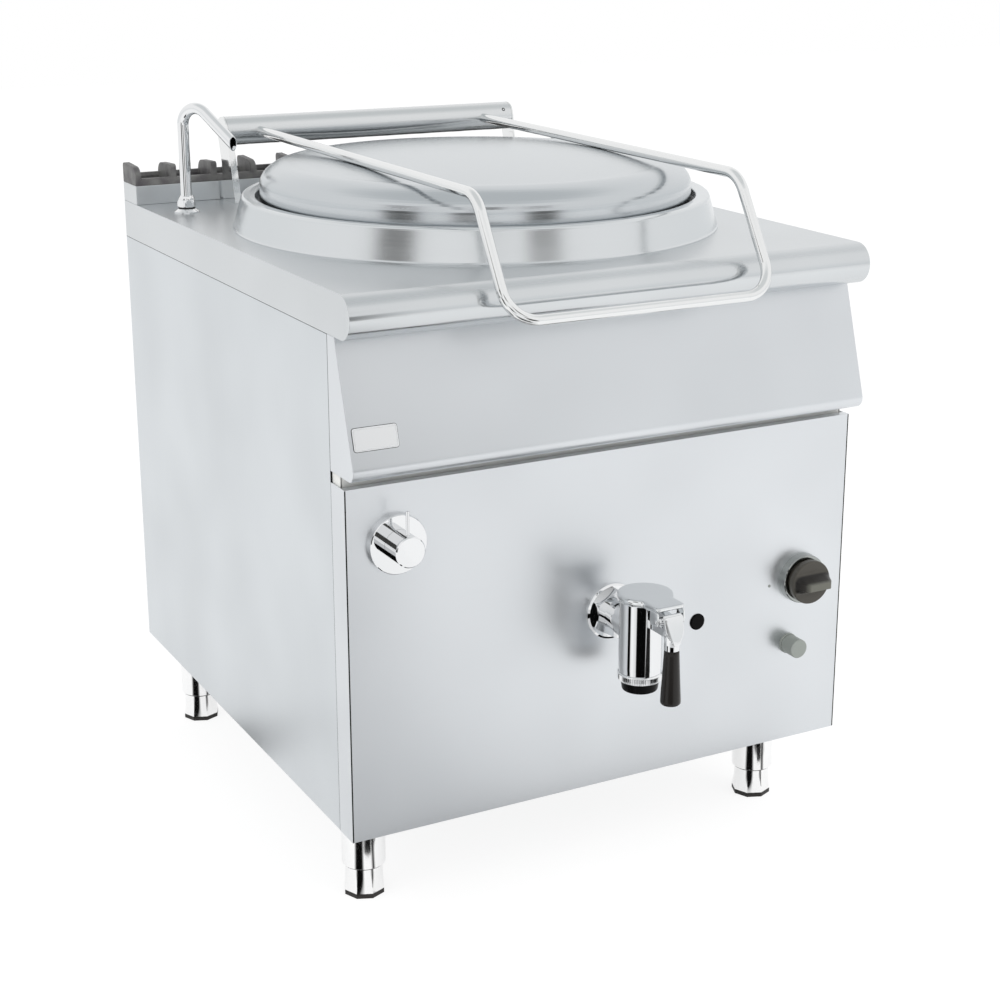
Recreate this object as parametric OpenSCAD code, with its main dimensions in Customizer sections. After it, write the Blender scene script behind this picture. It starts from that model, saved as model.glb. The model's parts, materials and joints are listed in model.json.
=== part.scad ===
// Free-standing gas boiling pan with a round vessel, a balanced lid, a swivel water spout and a drain tap.
// The origin is on the floor, under the middle of the overall length. +X is the viewer's right, +Y the back.

/* [Body] */
// Width over the side panels
body_w = 800; // [780:5:900]
// Depth from the rounded front of the worktop to the back
body_d = 900; // [880:5:960]
// Height of the worktop above the floor
worktop_h = 890; // [870:5:930]
// Clear height under the body
leg_h = 142; // [120:1:150]
// Thickness of the folded sheets
sheet = 2; // [1:0.5:3]
// Radius of the rounded front of the worktop, half its drop
nose_r = 29; // [22:0.5:32]
// Height of the slanted fascia
fascia_h = 180; // [140:5:200]
// How far the fascia's top stands behind the worktop's front
fascia_setback = 50; // [44:1:60]
// Radius of the fascia's lower edge
fascia_edge_r = 15; // [8:1:20]
// How far the front panel stands behind the worktop's front
door_setback = 30; // [24:1:40]
// Depth of the front panel's folded sides
door_fold = 43; // [36:1:60]
// Open slot between fascia and front panel
door_gap = 15; // [8:1:25]
// Width of the folded flanges inside the panels
flange_w = 12; // [8:1:16]
// Slit between panels that meet
seam = 0.3; // [0.1:0.1:0.6]
// Side of the square frame tubes
frame_tube = 30; // [25:1:34]

/* [Legs] */
// Centre of each leg from the side of the body
leg_x = 65; // [50:5:100]
// Front legs from the worktop's front
leg_front = 145; // [120:5:180]
// Rear legs from the back
leg_back = 65; // [55:5:120]
// Radius of the leg sleeve
sleeve_r = 31; // [28:0.5:34]
// Floor to the lower edge of the sleeve
sleeve_low = 47; // [42:1:55]
// Radius of the foot's round neck
neck_r = 26.5; // [24:0.5:28]
// Radius over the corners of the eight-sided foot
foot_r = 30; // [28:0.5:34]
// Height of the foot's flared part, with its pad
flare_h = 30; // [24:1:34]
// Height of the plastic pad
pad_h = 5; // [3:0.5:8]

/* [Flue] */
// Depth of the flue box
flue_d = 65; // [55:1:80]
// Height of the flue box above the worktop
flue_h = 30; // [20:1:50]
// Height of the cast grille above the flue box
grille_h = 31; // [22:1:40]
// Height of the grille's bars
grille_bar_h = 11; // [8:0.5:14]
// Width of the grille's bars
grille_bar_w = 8; // [6:0.5:10]
// Thickness of a fin
fin_w = 10; // [7:0.5:12]
// Distance between fins
fin_pitch = 68; // [50:1:90]
// From the end fin to the next one
fin_first = 58; // [40:1:80]
// Width of the flue duct
duct_w = 300; // [240:10:360]
// Lower edge of the flue duct above the bottom of the vessel
duct_rise = 170; // [120:5:200]
// Height of the duct's opening into the chamber
duct_mouth = 120; // [80:5:150]

/* [Pan] */
// Centre of the pan from the back
pan_back = 462; // [455:1:475]
// Inner radius of the vessel
pan_r = 300; // [290:1:303]
// Depth of the vessel below its rim
pan_depth = 539; // [500:1:545]
// Thickness of the vessel's wall
pan_wall = 3; // [2:0.5:4]
// Radius of the vessel's bottom edge
pan_edge_r = 34; // [24:1:50]
// Vessel rim above the worktop
pan_rim = 35; // [31:0.5:38]
// Height of the collar
collar_h = 48.5; // [44:0.5:60]
// Radius at the foot of the collar
collar_foot_r = 361; // [356:0.5:364]
// Radius at the top of the collar
collar_top_r = 349.5; // [345:0.5:352]
// Inner radius of the collar's lip
collar_lip_r = 328; // [326:0.5:332]
// Height of the gutter's floor above the worktop
gutter_h = 27; // [24:0.5:28]
// Width of the bead at the foot of the collar
bead = 1.5; // [1:0.5:3]

/* [Lid] */
// Radius of the lid's skirt
lid_r = 321.5; // [320:0.5:323]
// Lower edge of the skirt above the worktop
skirt_low = 40; // [39:0.5:42]
// Upper end of the straight skirt above the worktop
skirt_high = 61; // [55:0.5:64]
// Width of the lid's rounded shoulder
shoulder_w = 48; // [30:1:60]
// Height of the lid's rounded shoulder
shoulder_h = 34.2; // [30:0.1:36]
// Rise of the dome above the shoulder
dome_h = 12.6; // [11:0.1:13]
// Thickness of the lid
lid_wall = 1.5; // [1:0.5:2]
// Height of the lid's seal
seal_h = 12.7; // [10:0.1:12.8]

/* [Lid handle and hinge] */
// Radius of the handle tube
handle_r = 7.5; // [6:0.1:7.6]
// Wall of the handle tube
handle_wall = 1.5; // [1:0.5:2]
// Arms from the middle
arm_x = 201.5; // [190:0.5:210]
// Bend at the front of the arms, behind the worktop's front
arm_front = 47; // [40:1:55]
// Drop of the arms from the hinge to that bend
arm_drop = 4; // [3:0.1:4.2]
// Handle bar in front of the worktop's front
bar_out = 45; // [38:1:60]
// Handle bar below the worktop's surface
bar_low = 43; // [30:1:60]
// Radius of the bends in the handle
handle_bend = 44; // [30:1:60]
// Hinge axis from the back
beam_back = 80; // [76:0.5:84]
// Hinge axis above the worktop
beam_h = 110.5; // [108:0.5:114]
// Radius of the hinge beam
beam_r = 22.8; // [20:0.1:24]
// Wall of the hinge beam
beam_wall = 2; // [1.5:0.5:3]
// Half of the length between the hinge posts
beam_half = 255.7; // [240:0.1:262]
// Thickness of a hinge post
post_t = 2.5; // [2:0.5:4]
// Radius of the fixed hinge shaft
shaft_r = 8; // [6:0.5:10]
// Running clearance of the bearings
running = 0.08; // [0.04:0.01:0.1]
// Radius of the spring wire
spring_wire = 1.6; // [1:0.1:2.5]
// Turns of each balance spring
spring_turns = 12; // [6:1:13]

/* [Water] */
// Spout axis and side runs of the pipes, from the side of the body
spout_x = 48; // [47:0.5:50]
// Spout axis from the back
spout_back = 167; // [155:1:180]
// Radius of the spout pipe
spout_r = 8.7; // [7:0.1:9]
// Wall of the spout pipe
spout_wall = 1.2; // [1:0.1:2]
// Height of the straight part of the spout above the worktop
spout_straight = 133.7; // [100:0.1:180]
// Radius of the spout's bend
spout_bend = 26.6; // [20:0.1:40]
// Angle of the spout's bend
spout_turn = 129; // [100:1:150]
// Length of the spout beyond the bend
spout_reach = 68; // [40:1:100]
// Direction of the spout seen from above
spout_aim = -59; // [-80:1:-30]
// Radius of the spout flange
spout_flange_r = 20; // [16:0.5:24]
// Water control from the side of the body
water_x = 71.5; // [65:0.5:100]
// Water control above the floor
water_h = 556; // [520:1:580]
// Radius of the water control's disc
water_disc_r = 40.5; // [34:0.5:46]
// Thickness of the water control's disc
water_disc_t = 9.3; // [6:0.1:12]
// Radius of the water handle
water_handle_r = 21; // [16:0.5:25]
// Length of the water handle
water_handle_l = 35; // [25:1:45]
// Height of the pin above the water handle
water_pin_l = 32; // [20:1:45]
// Radius of the water and gas pipes
pipe_r = 8; // [6:0.5:9]

/* [Drain tap] */
// Drain axis above the bottom of the vessel
drain_h = 17; // [14:0.5:29]
// Inner radius of the drain pipe
drain_r = 18; // [14:0.5:19]
// Outer radius of the drain pipe
drain_outer_r = 21; // [20:0.5:23]
// Tap axis in front of the panel
tap_out = 77; // [70:1:95]
// Radius of the tap's wall flange
tap_flange_r = 40.5; // [36:0.5:46]
// Thickness of the tap's wall flange
tap_flange_t = 4; // [3:0.5:6]
// Radius over the corners of the tap's nut
tap_nut_r = 36; // [32:0.5:38]
// Thickness of the tap's nut
tap_nut_t = 14; // [10:0.5:18]
// Radius of the tap's body
tap_r = 30; // [28:0.5:34]
// Bore of the tap's body
tap_bore_r = 22; // [21:0.5:24]
// Top of the tap's body above the drain axis
tap_up = 43; // [38:0.5:48]
// Bottom of the tap's body below the drain axis
tap_down = 54; // [48:0.5:60]
// Height of the knurled ring
ring_h = 12; // [9:0.5:16]
// Gap-free height of the plain ring above it
collet_h = 7; // [4:0.5:10]
// Length of the outlet below the rings
outlet_l = 15; // [10:0.5:25]
// Bore of the outlet
outlet_r = 17; // [12:0.5:19]
// Radius of the cap's disc
cap_r = 38; // [34:0.5:42]
// Offset of the cap's disc towards the front
cap_off = 9; // [4:0.5:12]
// Thickness of the cap
cap_t = 10; // [6:0.5:12]
// Half width of the cap's tongue
tongue_half = 22; // [18:0.5:26]
// Lever pivot in front of the tap axis
pivot_out = 69; // [62:0.5:76]
// Lever pivot below the cap's underside
pivot_drop = 10; // [9:0.5:12]
// Rise of the plunger when the tap is open
tap_lift = 12; // [6:0.5:13]
// Radius of the lever's pin
pin_r = 3; // [2:0.5:4]
// Lever plate in front of its pivot
plate_off = 8; // [6:0.5:10]
// Length of the lever plate below the pivot
plate_l = 40; // [34:1:50]
// Length of the lever's grip
grip_l = 78; // [60:1:90]
// Radius at the lower end of the grip
grip_low_r = 14; // [11:0.5:16]
// Radius at the upper end of the grip
grip_top_r = 10.3; // [8:0.1:12]

/* [Gas controls] */
// Gas knob from the side of the body
knob_x = 75; // [65:1:100]
// Gas knob above the floor
knob_h = 397; // [380:1:420]
// Radius of the gas knob
knob_r = 34.8; // [28:0.1:38]
// Front of the knob's disc from the panel
knob_out = 27; // [24:0.5:30]
// Height of the knob's grip bar
knob_bar_h = 23; // [18:0.5:30]
// Width of the knob's grip bar
knob_bar_w = 15; // [10:0.5:20]
// Radius of the knob's bezel
bezel_r = 38.5; // [36:0.1:42]
// Push travel of the gas knob
knob_push = 4; // [2:0.5:5]
// Igniter button from the side of the body
button_x = 92.5; // [65:0.5:100]
// Igniter button above the floor
button_h = 296; // [280:1:310]
// Radius of the igniter button
button_r = 14.3; // [12:0.1:16]
// Length of the igniter button
button_l = 24.5; // [16:0.5:30]
// Travel of the igniter button
button_travel = 4; // [2:0.5:5]
// Blind plug from the middle
plug_x = 144.5; // [120:0.5:180]
// Blind plug above the floor
plug_h = 359.5; // [340:0.5:380]
// Radius of the blind plug
plug_r = 12.2; // [9:0.1:15]

/* [Burner] */
// Radius of the burner ring
burner_r = 180; // [140:5:220]
// Radius of the burner's tube
burner_tube_r = 18; // [14:1:22]
// Height of the burner above the tray
burner_h = 95; // [80:1:130]
// Inner radius of the combustion chamber
chamber_r = 326; // [318:1:328]
// Thickness of the insulation
wool_t = 12; // [6:1:14]

/* [Hidden] */
$fn = 72;

// Small overshoot of the cutting solids
e = 1;
// Running gap between parts that move past each other
gap = 0.3;
// How far a straight tube runs into its bend
lap = 0.5;

// Places along Y, worked out from the back and the front
overhang = tap_out + pivot_out + plate_off + grip_low_r - door_setback;
rear_y = (body_d + overhang) / 2;
nose_y = rear_y - body_d;
door_y = nose_y + door_setback;
side_y = door_y + door_fold;
fascia_y = nose_y + fascia_setback;
flue_y = rear_y - flue_d;
pan_y = rear_y - pan_back;
beam_y = rear_y - beam_back;
tap_y = door_y - tap_out;
pivot_y = tap_y - pivot_out;
spout_y = rear_y - spout_back;
leg_front_y = nose_y + leg_front;
leg_rear_y = rear_y - leg_back;

// Heights
half_w = body_w / 2;
leg_at_x = half_w - leg_x;
spout_at_x = half_w - spout_x;
water_at_x = half_w - water_x;
knob_at_x = half_w - knob_x;
button_at_x = half_w - button_x;
worktop_drop = 2 * nose_r;
panel_top = worktop_h - worktop_drop;
fascia_low = panel_top - fascia_h;
door_top = fascia_low - door_gap;
tray_z = leg_h + frame_tube;
vessel_top = worktop_h + pan_rim;
vessel_low = vessel_top - pan_depth;
drain_z = vessel_low + drain_h;
duct_low = vessel_low + duct_rise;
duct_y = pan_y + 200;
gutter_z = worktop_h + gutter_h;
beam_z = worktop_h + beam_h;
flue_top = worktop_h + flue_h;
tap_top = drain_z + tap_up;
tap_low = drain_z - tap_down;
cap_z = tap_top + 3;
pivot_z = cap_z - pivot_drop;
ear_rim = pin_r + 2;
outlet_low = tap_low - collet_h - ring_h - outlet_l;
bed_r = collar_foot_r - 9;

function unit(v) = v / norm(v);
function bend_angle(a, b, c) = acos(unit(b - a) * unit(c - b));
function setback(a, b, c, r) = r * tan(bend_angle(a, b, c) / 2);
function arc(centre, r, from, to, steps) =
    [for (i = [0:steps]) let (a = from + (to - from) * i / steps) centre + r * [cos(a), sin(a)]];
function reversed(list) = [for (i = [len(list) - 1:-1:0]) list[i]];

// A side view drawn with Y to the right and Z up, given its length along X
module along_x(length) {
    rotate([90, 0, 90]) linear_extrude(length, center = true) children();
}

// A round bar or bore along -Y, from a point on its axis
module towards_front(r, length, r2 = 0) {
    rotate([90, 0, 0]) cylinder(r1 = r, r2 = r2 > 0 ? r2 : r, h = length);
}

module straight(a, b, r) {
    d = b - a;
    translate(a) rotate([0, acos(d.z / norm(d)), atan2(d.y, d.x)]) cylinder(r = r, h = norm(d));
}

// The quarter or part ring that rounds the corner b of the path a, b, c
module elbow(a, b, c, r, bend) {
    u = unit(b - a);
    n = unit(cross(u, unit(c - b)));
    out = cross(u, n);
    centre = b - u * setback(a, b, c, bend) - out * bend;
    multmatrix([
        [out.x, u.x, n.x, centre.x],
        [out.y, u.y, n.y, centre.y],
        [out.z, u.z, n.z, centre.z],
        [0, 0, 0, 1]
    ]) rotate_extrude(angle = bend_angle(a, b, c)) translate([bend, 0]) circle(r);
}

// A round bar along a path of points. The bends are a hair thicker, and the straights run a little into them.
module bent_bar(path, r, bend) {
    last = len(path) - 1;
    for (i = [0:last - 1]) {
        u = unit(path[i + 1] - path[i]);
        from = i == 0 ? 0 : setback(path[i - 1], path[i], path[i + 1], bend) - lap;
        to = i == last - 1 ? 0 : setback(path[i], path[i + 1], path[i + 2], bend) - lap;
        straight(path[i] + u * from, path[i + 1] - u * to, r);
    }
    for (i = [1:last - 1]) elbow(path[i - 1], path[i], path[i + 1], r + 0.05, bend);
}

module bent_tube(path, r, wall, bend) {
    difference() {
        bent_bar(path, r, bend);
        bent_bar(path, r - wall, bend);
    }
}

// Body panels

module chassis_frame() color("silver") {
    x = half_w - sheet - seam - frame_tube;
    y0 = side_y + sheet + seam;
    y1 = rear_y - 2 * sheet - seam - frame_tube;
    for (s = [-1, 1]) {
        translate([s > 0 ? x : -x - frame_tube, y0, leg_h])
            cube([frame_tube, y1 + frame_tube - y0, frame_tube]);
        for (y = [y0, y1])
            translate([s > 0 ? x : -x - frame_tube, y, tray_z])
                cube([frame_tube, frame_tube, worktop_h - sheet - tray_z]);
    }
    for (y = [leg_front_y, leg_rear_y])
        translate([-x, y - frame_tube / 2, leg_h]) cube([2 * x, frame_tube, frame_tube]);
}

module bottom_tray() color("silver") {
    x = half_w - sheet - seam - frame_tube - seam;
    y0 = side_y + sheet + seam;
    y1 = rear_y - 2 * sheet - seam;
    difference() {
        translate([-x, y0, tray_z]) cube([2 * x, y1 - y0, sheet + flange_w]);
        translate([-x + sheet, y0 + sheet, tray_z + sheet])
            cube([2 * x - 2 * sheet, y1 - y0 - 2 * sheet, flange_w + e]);
        translate([0, pan_y, tray_z - e]) cylinder(r = burner_r / 2, h = sheet + 2 * e);
        for (p = [gas_foot, cold_foot, hot_foot])
            translate([p.x, p.y, tray_z - e]) cylinder(r = pipe_r + 0.95, h = sheet + 2 * e);
    }
}

module side_panel(s) {
    h = panel_top - leg_h;
    module wall(x, y, z, size) {
        translate([s > 0 ? x : -x - size.x, y, z]) cube(size);
    }
    color("gainsboro") {
        wall(half_w - sheet, side_y, leg_h, [sheet, rear_y - side_y, h]);
        wall(half_w - flange_w, side_y, tray_z + 20, [flange_w, sheet, h - frame_tube - 20]);
        wall(half_w - flange_w, rear_y - 2 * sheet, leg_h, [flange_w, sheet, h]);
    }
}

module left_side_panel() side_panel(-1);

module right_side_panel() side_panel(1);

module rear_panel() color("gainsboro") {
    w = 2 * (half_w - sheet - seam);
    translate([-w / 2, rear_y - sheet, leg_h]) cube([w, sheet, panel_top - leg_h]);
    fold = w - 2 * (frame_tube + seam);
    translate([-fold / 2, rear_y - flange_w, leg_h]) cube([fold, flange_w, sheet]);
}

module front_panel() color("gainsboro") difference() {
    h = door_top - leg_h;
    translate([-half_w, door_y, leg_h]) cube([body_w, door_fold - seam, h]);
    translate([-half_w + sheet, door_y + sheet, leg_h + sheet])
        cube([body_w - 2 * sheet, door_fold, h - 2 * sheet]);
    translate([-half_w + sheet, door_y + flange_w, leg_h - e])
        cube([body_w - 2 * sheet, door_fold, h + 2 * e]);
    translate([0, door_y + flange_w, drain_z]) towards_front(drain_outer_r + gap, flange_w + e);
    translate([knob_at_x, door_y + flange_w, knob_h]) towards_front(6, flange_w + e);
    translate([button_at_x, door_y + flange_w, button_h]) towards_front(button_r - 3, flange_w + e);
    translate([-water_at_x, door_y + flange_w, water_h]) towards_front(15 + gap / 3, flange_w + e);
    translate([plug_x, door_y + flange_w, plug_h]) towards_front(plug_r - 3, flange_w + e);
}

// The fascia's outline, shrunk by the sheet for its inside
module fascia_outline(inset) {
    centre = [nose_y + fascia_edge_r, fascia_low + fascia_edge_r];
    top = [fascia_y, panel_top];
    d = centre - top;
    slope = atan2(d.y, d.x) - asin(fascia_edge_r / norm(d));
    reach = sqrt(norm(d) * norm(d) - fascia_edge_r * fascia_edge_r);
    inward = inset * [cos(slope + 90), sin(slope + 90)];
    start = top + inward - (inset > 0 ? 20 : 0) * [cos(slope), sin(slope)];
    translate(centre) circle(fascia_edge_r - inset);
    polygon([
        start,
        top + inward + reach * [cos(slope), sin(slope)],
        centre,
        [centre.x, fascia_low + inset],
        [side_y + (inset > 0 ? e : 0), fascia_low + inset],
        [side_y + (inset > 0 ? e : 0), start.y]
    ]);
}

module control_fascia() color("gainsboro") {
    along_x(body_w) difference() {
        fascia_outline(0);
        fascia_outline(sheet);
    }
    for (s = [-1, 1])
        translate([s * (half_w - sheet / 2), 0, 0]) along_x(sheet) fascia_outline(0);
}

// The worktop's outline: a flat plate that ends in a half round at the front
module worktop_outline(inset) {
    r = nose_r - inset;
    translate([nose_y + nose_r, worktop_h - nose_r]) {
        circle(r);
        translate([0, -r]) square([rear_y - inset - nose_y - nose_r, 2 * r]);
    }
}

module worktop() color("whitesmoke") difference() {
    union() {
        along_x(body_w) difference() {
            worktop_outline(0);
            worktop_outline(sheet);
            translate([fascia_y + flange_w, panel_top - e])
                square([rear_y - sheet - fascia_y - flange_w, nose_r]);
        }
        for (s = [-1, 1])
            translate([s * (half_w - sheet / 2), 0, 0]) along_x(sheet) worktop_outline(0);
    }
    translate([0, pan_y, worktop_h - sheet - e]) cylinder(r = bed_r, h = sheet + 2 * e, $fn = 120);
    translate([-duct_w / 2 + sheet, flue_y + 5, worktop_h - sheet - e])
        cube([duct_w - 2 * sheet, flue_d - 13, sheet + 2 * e]);
    translate([-spout_at_x, spout_y, worktop_h - sheet - e]) cylinder(r = 10.2, h = sheet + 2 * e);
}

// Flue

module flue_box() color("gainsboro") difference() {
    translate([-half_w, flue_y, worktop_h]) cube([body_w, flue_d, flue_h]);
    translate([-half_w + sheet, flue_y + sheet, worktop_h - e])
        cube([body_w - 2 * sheet, flue_d - 2 * sheet, flue_h + 2 * e]);
}

// Side view of a fin: one end is square, the other falls away in a large round
module fin_outline(round_front) {
    w = flue_d - 2 * seam;
    h = grille_h;
    side = round_front ? 1 : -1;
    translate([flue_y + flue_d / 2, 0]) scale([1, 1]) mirror([round_front ? 0 : 1, 0]) polygon(concat(
        [[w / 2, 0], [w / 2, h - 6]],
        arc([w / 2 - 6, h - 6], 6, 0, 90, 6),
        [[w / 2 - 30, h - 1]],
        arc([-w / 2 + 17, h - 19], 17, 95, 180, 10),
        [[-w / 2, 0]]
    ));
}

function fin_places() = [
    for (x = [half_w - fin_w / 2 - fin_first:-fin_pitch:fin_pitch / 2]) x
];

module flue_grille() color("dimgray") {
    places = concat([half_w - fin_w / 2], fin_places());
    translate([0, 0, flue_top]) {
        // front and rear bars with a sloping top
        for (back = [0, 1])
            along_x(body_w - 2 * seam)
                translate([back == 0 ? flue_y + seam : rear_y - seam - grille_bar_w, 0])
                    polygon([[0, 0], [grille_bar_w, 0], [grille_bar_w, grille_bar_h + 2 * back],
                             [2, grille_bar_h + 2 * back], [0, grille_bar_h - 3]]);
        // low middle bar that the fins stand on
        along_x(body_w - 2 * seam)
            translate([flue_y + flue_d / 2 - 4, 0]) square([8, grille_bar_h - 4]);
        for (i = [0:len(places) - 1], s = [-1, 1])
            translate([s * places[i], 0, 0]) along_x(fin_w - seam) fin_outline(i % 4 == 0 || i % 4 == 3);
        along_x(fin_w) fin_outline(true);
    }
}

module flue_duct() color("silver") {
    low = duct_low;
    y0 = flue_y + 3;
    y1 = rear_y - 2 * sheet - seam;
    front = pan_y + chamber_r;
    difference() {
        union() {
            translate([-duct_w / 2, y0, low]) cube([duct_w, y1 - y0, worktop_h - sheet - low]);
            translate([-duct_w / 3, front, low]) cube([duct_w * 2 / 3, y0 - front + e, duct_mouth]);
        }
        translate([-duct_w / 2 + sheet, y0 + sheet, low + sheet])
            cube([duct_w - 2 * sheet, y1 - y0 - 2 * sheet, worktop_h]);
        translate([-duct_w / 3 + sheet, front - e, low + sheet])
            cube([duct_w * 2 / 3 - 2 * sheet, y0 + sheet - front + 2 * e, duct_mouth - 2 * sheet]);
        translate([0, pan_y, low - e]) cylinder(r = chamber_r + sheet, h = duct_mouth + 2 * e, $fn = 120);
    }
}

// Pan

module vessel_outline(r, low, edge) {
    polygon(concat(
        [[0, vessel_top], [0, low]],
        arc([r - edge, low + edge], edge, -90, 0, 10),
        [[r, vessel_top]]
    ));
}

module pan_vessel() color("silver") difference() {
    union() {
        rotate_pan() vessel_outline(pan_r + pan_wall, vessel_low - pan_wall, pan_edge_r + pan_wall);
        translate([0, pan_y, gutter_z - 2 * sheet])
            cylinder(r = collar_lip_r, h = sheet, $fn = 120);
    }
    translate([0, 0, e]) rotate_pan() vessel_outline(pan_r, vessel_low - e, pan_edge_r);
    rotate_pan() translate([0, vessel_top - e]) square([pan_r, 2 * e]);
    translate([0, pan_y - pan_r + 60, drain_z]) towards_front(drain_r, 80);
}

module rotate_pan() {
    translate([0, pan_y, 0]) rotate_extrude($fn = 120) children();
}

module pan_collar() color("whitesmoke") rotate_pan() {
    z = worktop_h;
    top = z + collar_h;
    t = sheet;
    edge = 6;
    foot = collar_foot_r;
    rim = collar_top_r;
    lip = collar_lip_r;
    polygon(concat(
        [[foot - 8, z], [foot + bead, z], [foot + bead, z + 2], [foot, z + 4]],
        arc([rim - edge, top - edge], edge, 5, 80, 8),
        [[rim - edge - 6, top], [lip + 4, top - 1]],
        arc([lip + 3, top - 4], 3, 110, 180, 4),
        [[lip, gutter_z], [pan_r + pan_wall, gutter_z], [pan_r + pan_wall, gutter_z - t],
         [lip + t, gutter_z - t], [lip + t, top - 4]],
        [[lip + 4, top - 1 - t], [rim - edge - 6, top - t]],
        reversed(arc([rim - edge, top - edge], edge - t, 5, 80, 8)),
        [[foot - t, z + 4], [foot - t, z + t], [foot - 8, z + t]]
    ));
}

module chamber_shell() color("silver") difference() {
    high = worktop_h - 12;
    translate([0, pan_y, tray_z + sheet]) {
        cylinder(r = chamber_r + sheet, h = high - tray_z - sheet, $fn = 120);
        cylinder(r = chamber_r + sheet + wool_t, h = sheet, $fn = 120);
        translate([0, 0, vessel_low - 120 - tray_z])
            cylinder(r = chamber_r + sheet + wool_t, h = sheet, $fn = 120);
    }
    translate([0, pan_y, tray_z]) cylinder(r = chamber_r, h = worktop_h, $fn = 120);
    // air holes low in the wall
    for (a = [0:20:340])
        translate([0, pan_y, tray_z + 30]) rotate([0, 90, a + 10])
            cylinder(r = 10, h = chamber_r + wool_t);
    translate([0, pan_y, drain_z]) towards_front(drain_outer_r + gap, chamber_r + wool_t);
    translate([0, pan_y, injector_z]) towards_front(pipe_r + gap, chamber_r + wool_t + 2 * sheet);
    translate([lead_x, pan_y, lead_z]) towards_front(4, chamber_r + wool_t + 2 * sheet);
    translate([-duct_w / 3 + sheet, duct_y, duct_low + sheet])
        cube([duct_w * 2 / 3 - 2 * sheet, 200, duct_mouth - 2 * sheet]);
}

module insulation_jacket() color("khaki") difference() {
    low = vessel_low - 120 + 2 * sheet + gap;
    translate([0, pan_y, low]) cylinder(r = chamber_r + sheet + wool_t, h = worktop_h - 20 - low, $fn = 120);
    translate([0, pan_y, low - e])
        cylinder(r = chamber_r + sheet + gap, h = worktop_h, $fn = 120);
    translate([0, pan_y, drain_z]) towards_front(drain_outer_r + gap, chamber_r + wool_t + 2 * sheet);
    translate([-duct_w / 3 - gap, duct_y, duct_low - gap])
        cube([duct_w * 2 / 3 + 2 * gap, 200, duct_mouth + 2 * gap]);
    translate([0, pan_y, injector_z]) towards_front(pipe_r + gap, chamber_r + wool_t + 2 * sheet);
    translate([lead_x, pan_y, lead_z]) towards_front(4, chamber_r + wool_t + 2 * sheet);
}

// Gas side

burner_z = tray_z + burner_h;
injector_z = burner_z;
lead_x = 120;
pilot_y = pan_y - burner_r;
lead_z = burner_z - 5;
feet_y = leg_rear_y - frame_tube / 2 - 14;
gas_foot = [half_w - 120, feet_y, leg_h - 25];
cold_foot = [-half_w + 120, feet_y, leg_h - 25];
hot_foot = [-half_w + 160, feet_y, leg_h - 25];
// The runs along the sides, between the insulation and the frame
side_x = spout_at_x;

module main_burner() color("dimgray") difference() {
    translate([0, pan_y, burner_z]) {
        rotate_extrude($fn = 96) translate([burner_r, 0]) circle(burner_tube_r);
        for (a = [90, 210, 330]) rotate([0, 90, a]) cylinder(r = 11, h = burner_r);
        cylinder(r = 26, h = 2 * burner_tube_r, center = true);
        // mixing tube towards the injector
        towards_front(13, chamber_r - 60);
        translate([0, -chamber_r + 76, 0]) towards_front(13, 30, 20);
        // feet on the tray
        for (a = [30, 150, 270]) rotate(a) translate([burner_r, 0, sheet - burner_h])
            cylinder(r = 6, h = burner_h - sheet);
    }
    for (a = [0:15:345])
        translate([0, pan_y, burner_z]) rotate(a) translate([burner_r, 0, 0])
            cylinder(r = 2, h = burner_tube_r + e, $fn = 16);
    translate([0, pan_y - chamber_r + 76 - 30 + 12, burner_z]) towards_front(14, 12 + e);
}

// Stand on the tray, pilot tube and spark electrode
module pilot_burner() color("darkgray") translate([lead_x, pilot_y, 0]) {
    translate([-6, -6, tray_z + sheet]) cube([12, 12, lead_z - 8 - tray_z - sheet]);
    translate([-14, -8, lead_z - 8]) cube([28, 16, 16]);
    cylinder_from(lead_z + 8, lead_z + 30, 5);
    translate([-10, 0, 0]) cylinder_from(lead_z + 8, lead_z + 26, 1.5);
}

module ignition_lead() color("darkorange") bent_bar([
    [button_at_x, door_y + 52, button_h],
    [button_at_x, door_y + 75, button_h],
    [button_at_x, door_y + 75, lead_z],
    [lead_x, door_y + 75, lead_z],
    [lead_x, pilot_y - 8, lead_z]
], 2.5, 10);

module igniter_body() color("dimgray") {
    translate([button_at_x, door_y + 52, button_h]) towards_front(button_r - 1, 52 - sheet);
    translate([button_at_x, door_y + sheet, button_h]) towards_front(button_r - 3 - gap, sheet + 14);
}

module gas_valve() color("goldenrod") difference() {
    translate([knob_at_x, door_y, knob_h]) {
        translate([-22, sheet, -26]) cube([59, 46, 52]);
        translate([0, sheet + 46, 0]) rotate([-90, 0, 0]) cylinder(r = 12, h = 14);
    }
    translate([knob_at_x, door_y + sheet + 30, knob_h]) towards_front(5 + running, 40);
    translate([knob_at_x, door_y + sheet + 46, knob_h]) towards_front(3 + running, 60);
}

module gas_supply_pipe() color("darkgoldenrod") bent_tube([
    gas_foot,
    [gas_foot.x, feet_y, tray_z + 35],
    [side_x, feet_y, tray_z + 35],
    [side_x, door_y + 30, tray_z + 35],
    [side_x, door_y + 30, knob_h - 26]
], pipe_r, 2, 18);

module burner_feed_pipe() color("darkgoldenrod") bent_tube([
    [knob_at_x + 10, door_y + 34, knob_h - 26],
    [knob_at_x + 10, door_y + 34, injector_z],
    [0, door_y + 34, injector_z],
    [0, pan_y - chamber_r + 58, injector_z]
], pipe_r - 2, 2, 18);

// Legs

function leg_places() = [
    for (y = [leg_front_y, leg_rear_y], s = [-1, 1]) [s * leg_at_x, y, 0]
];

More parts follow.
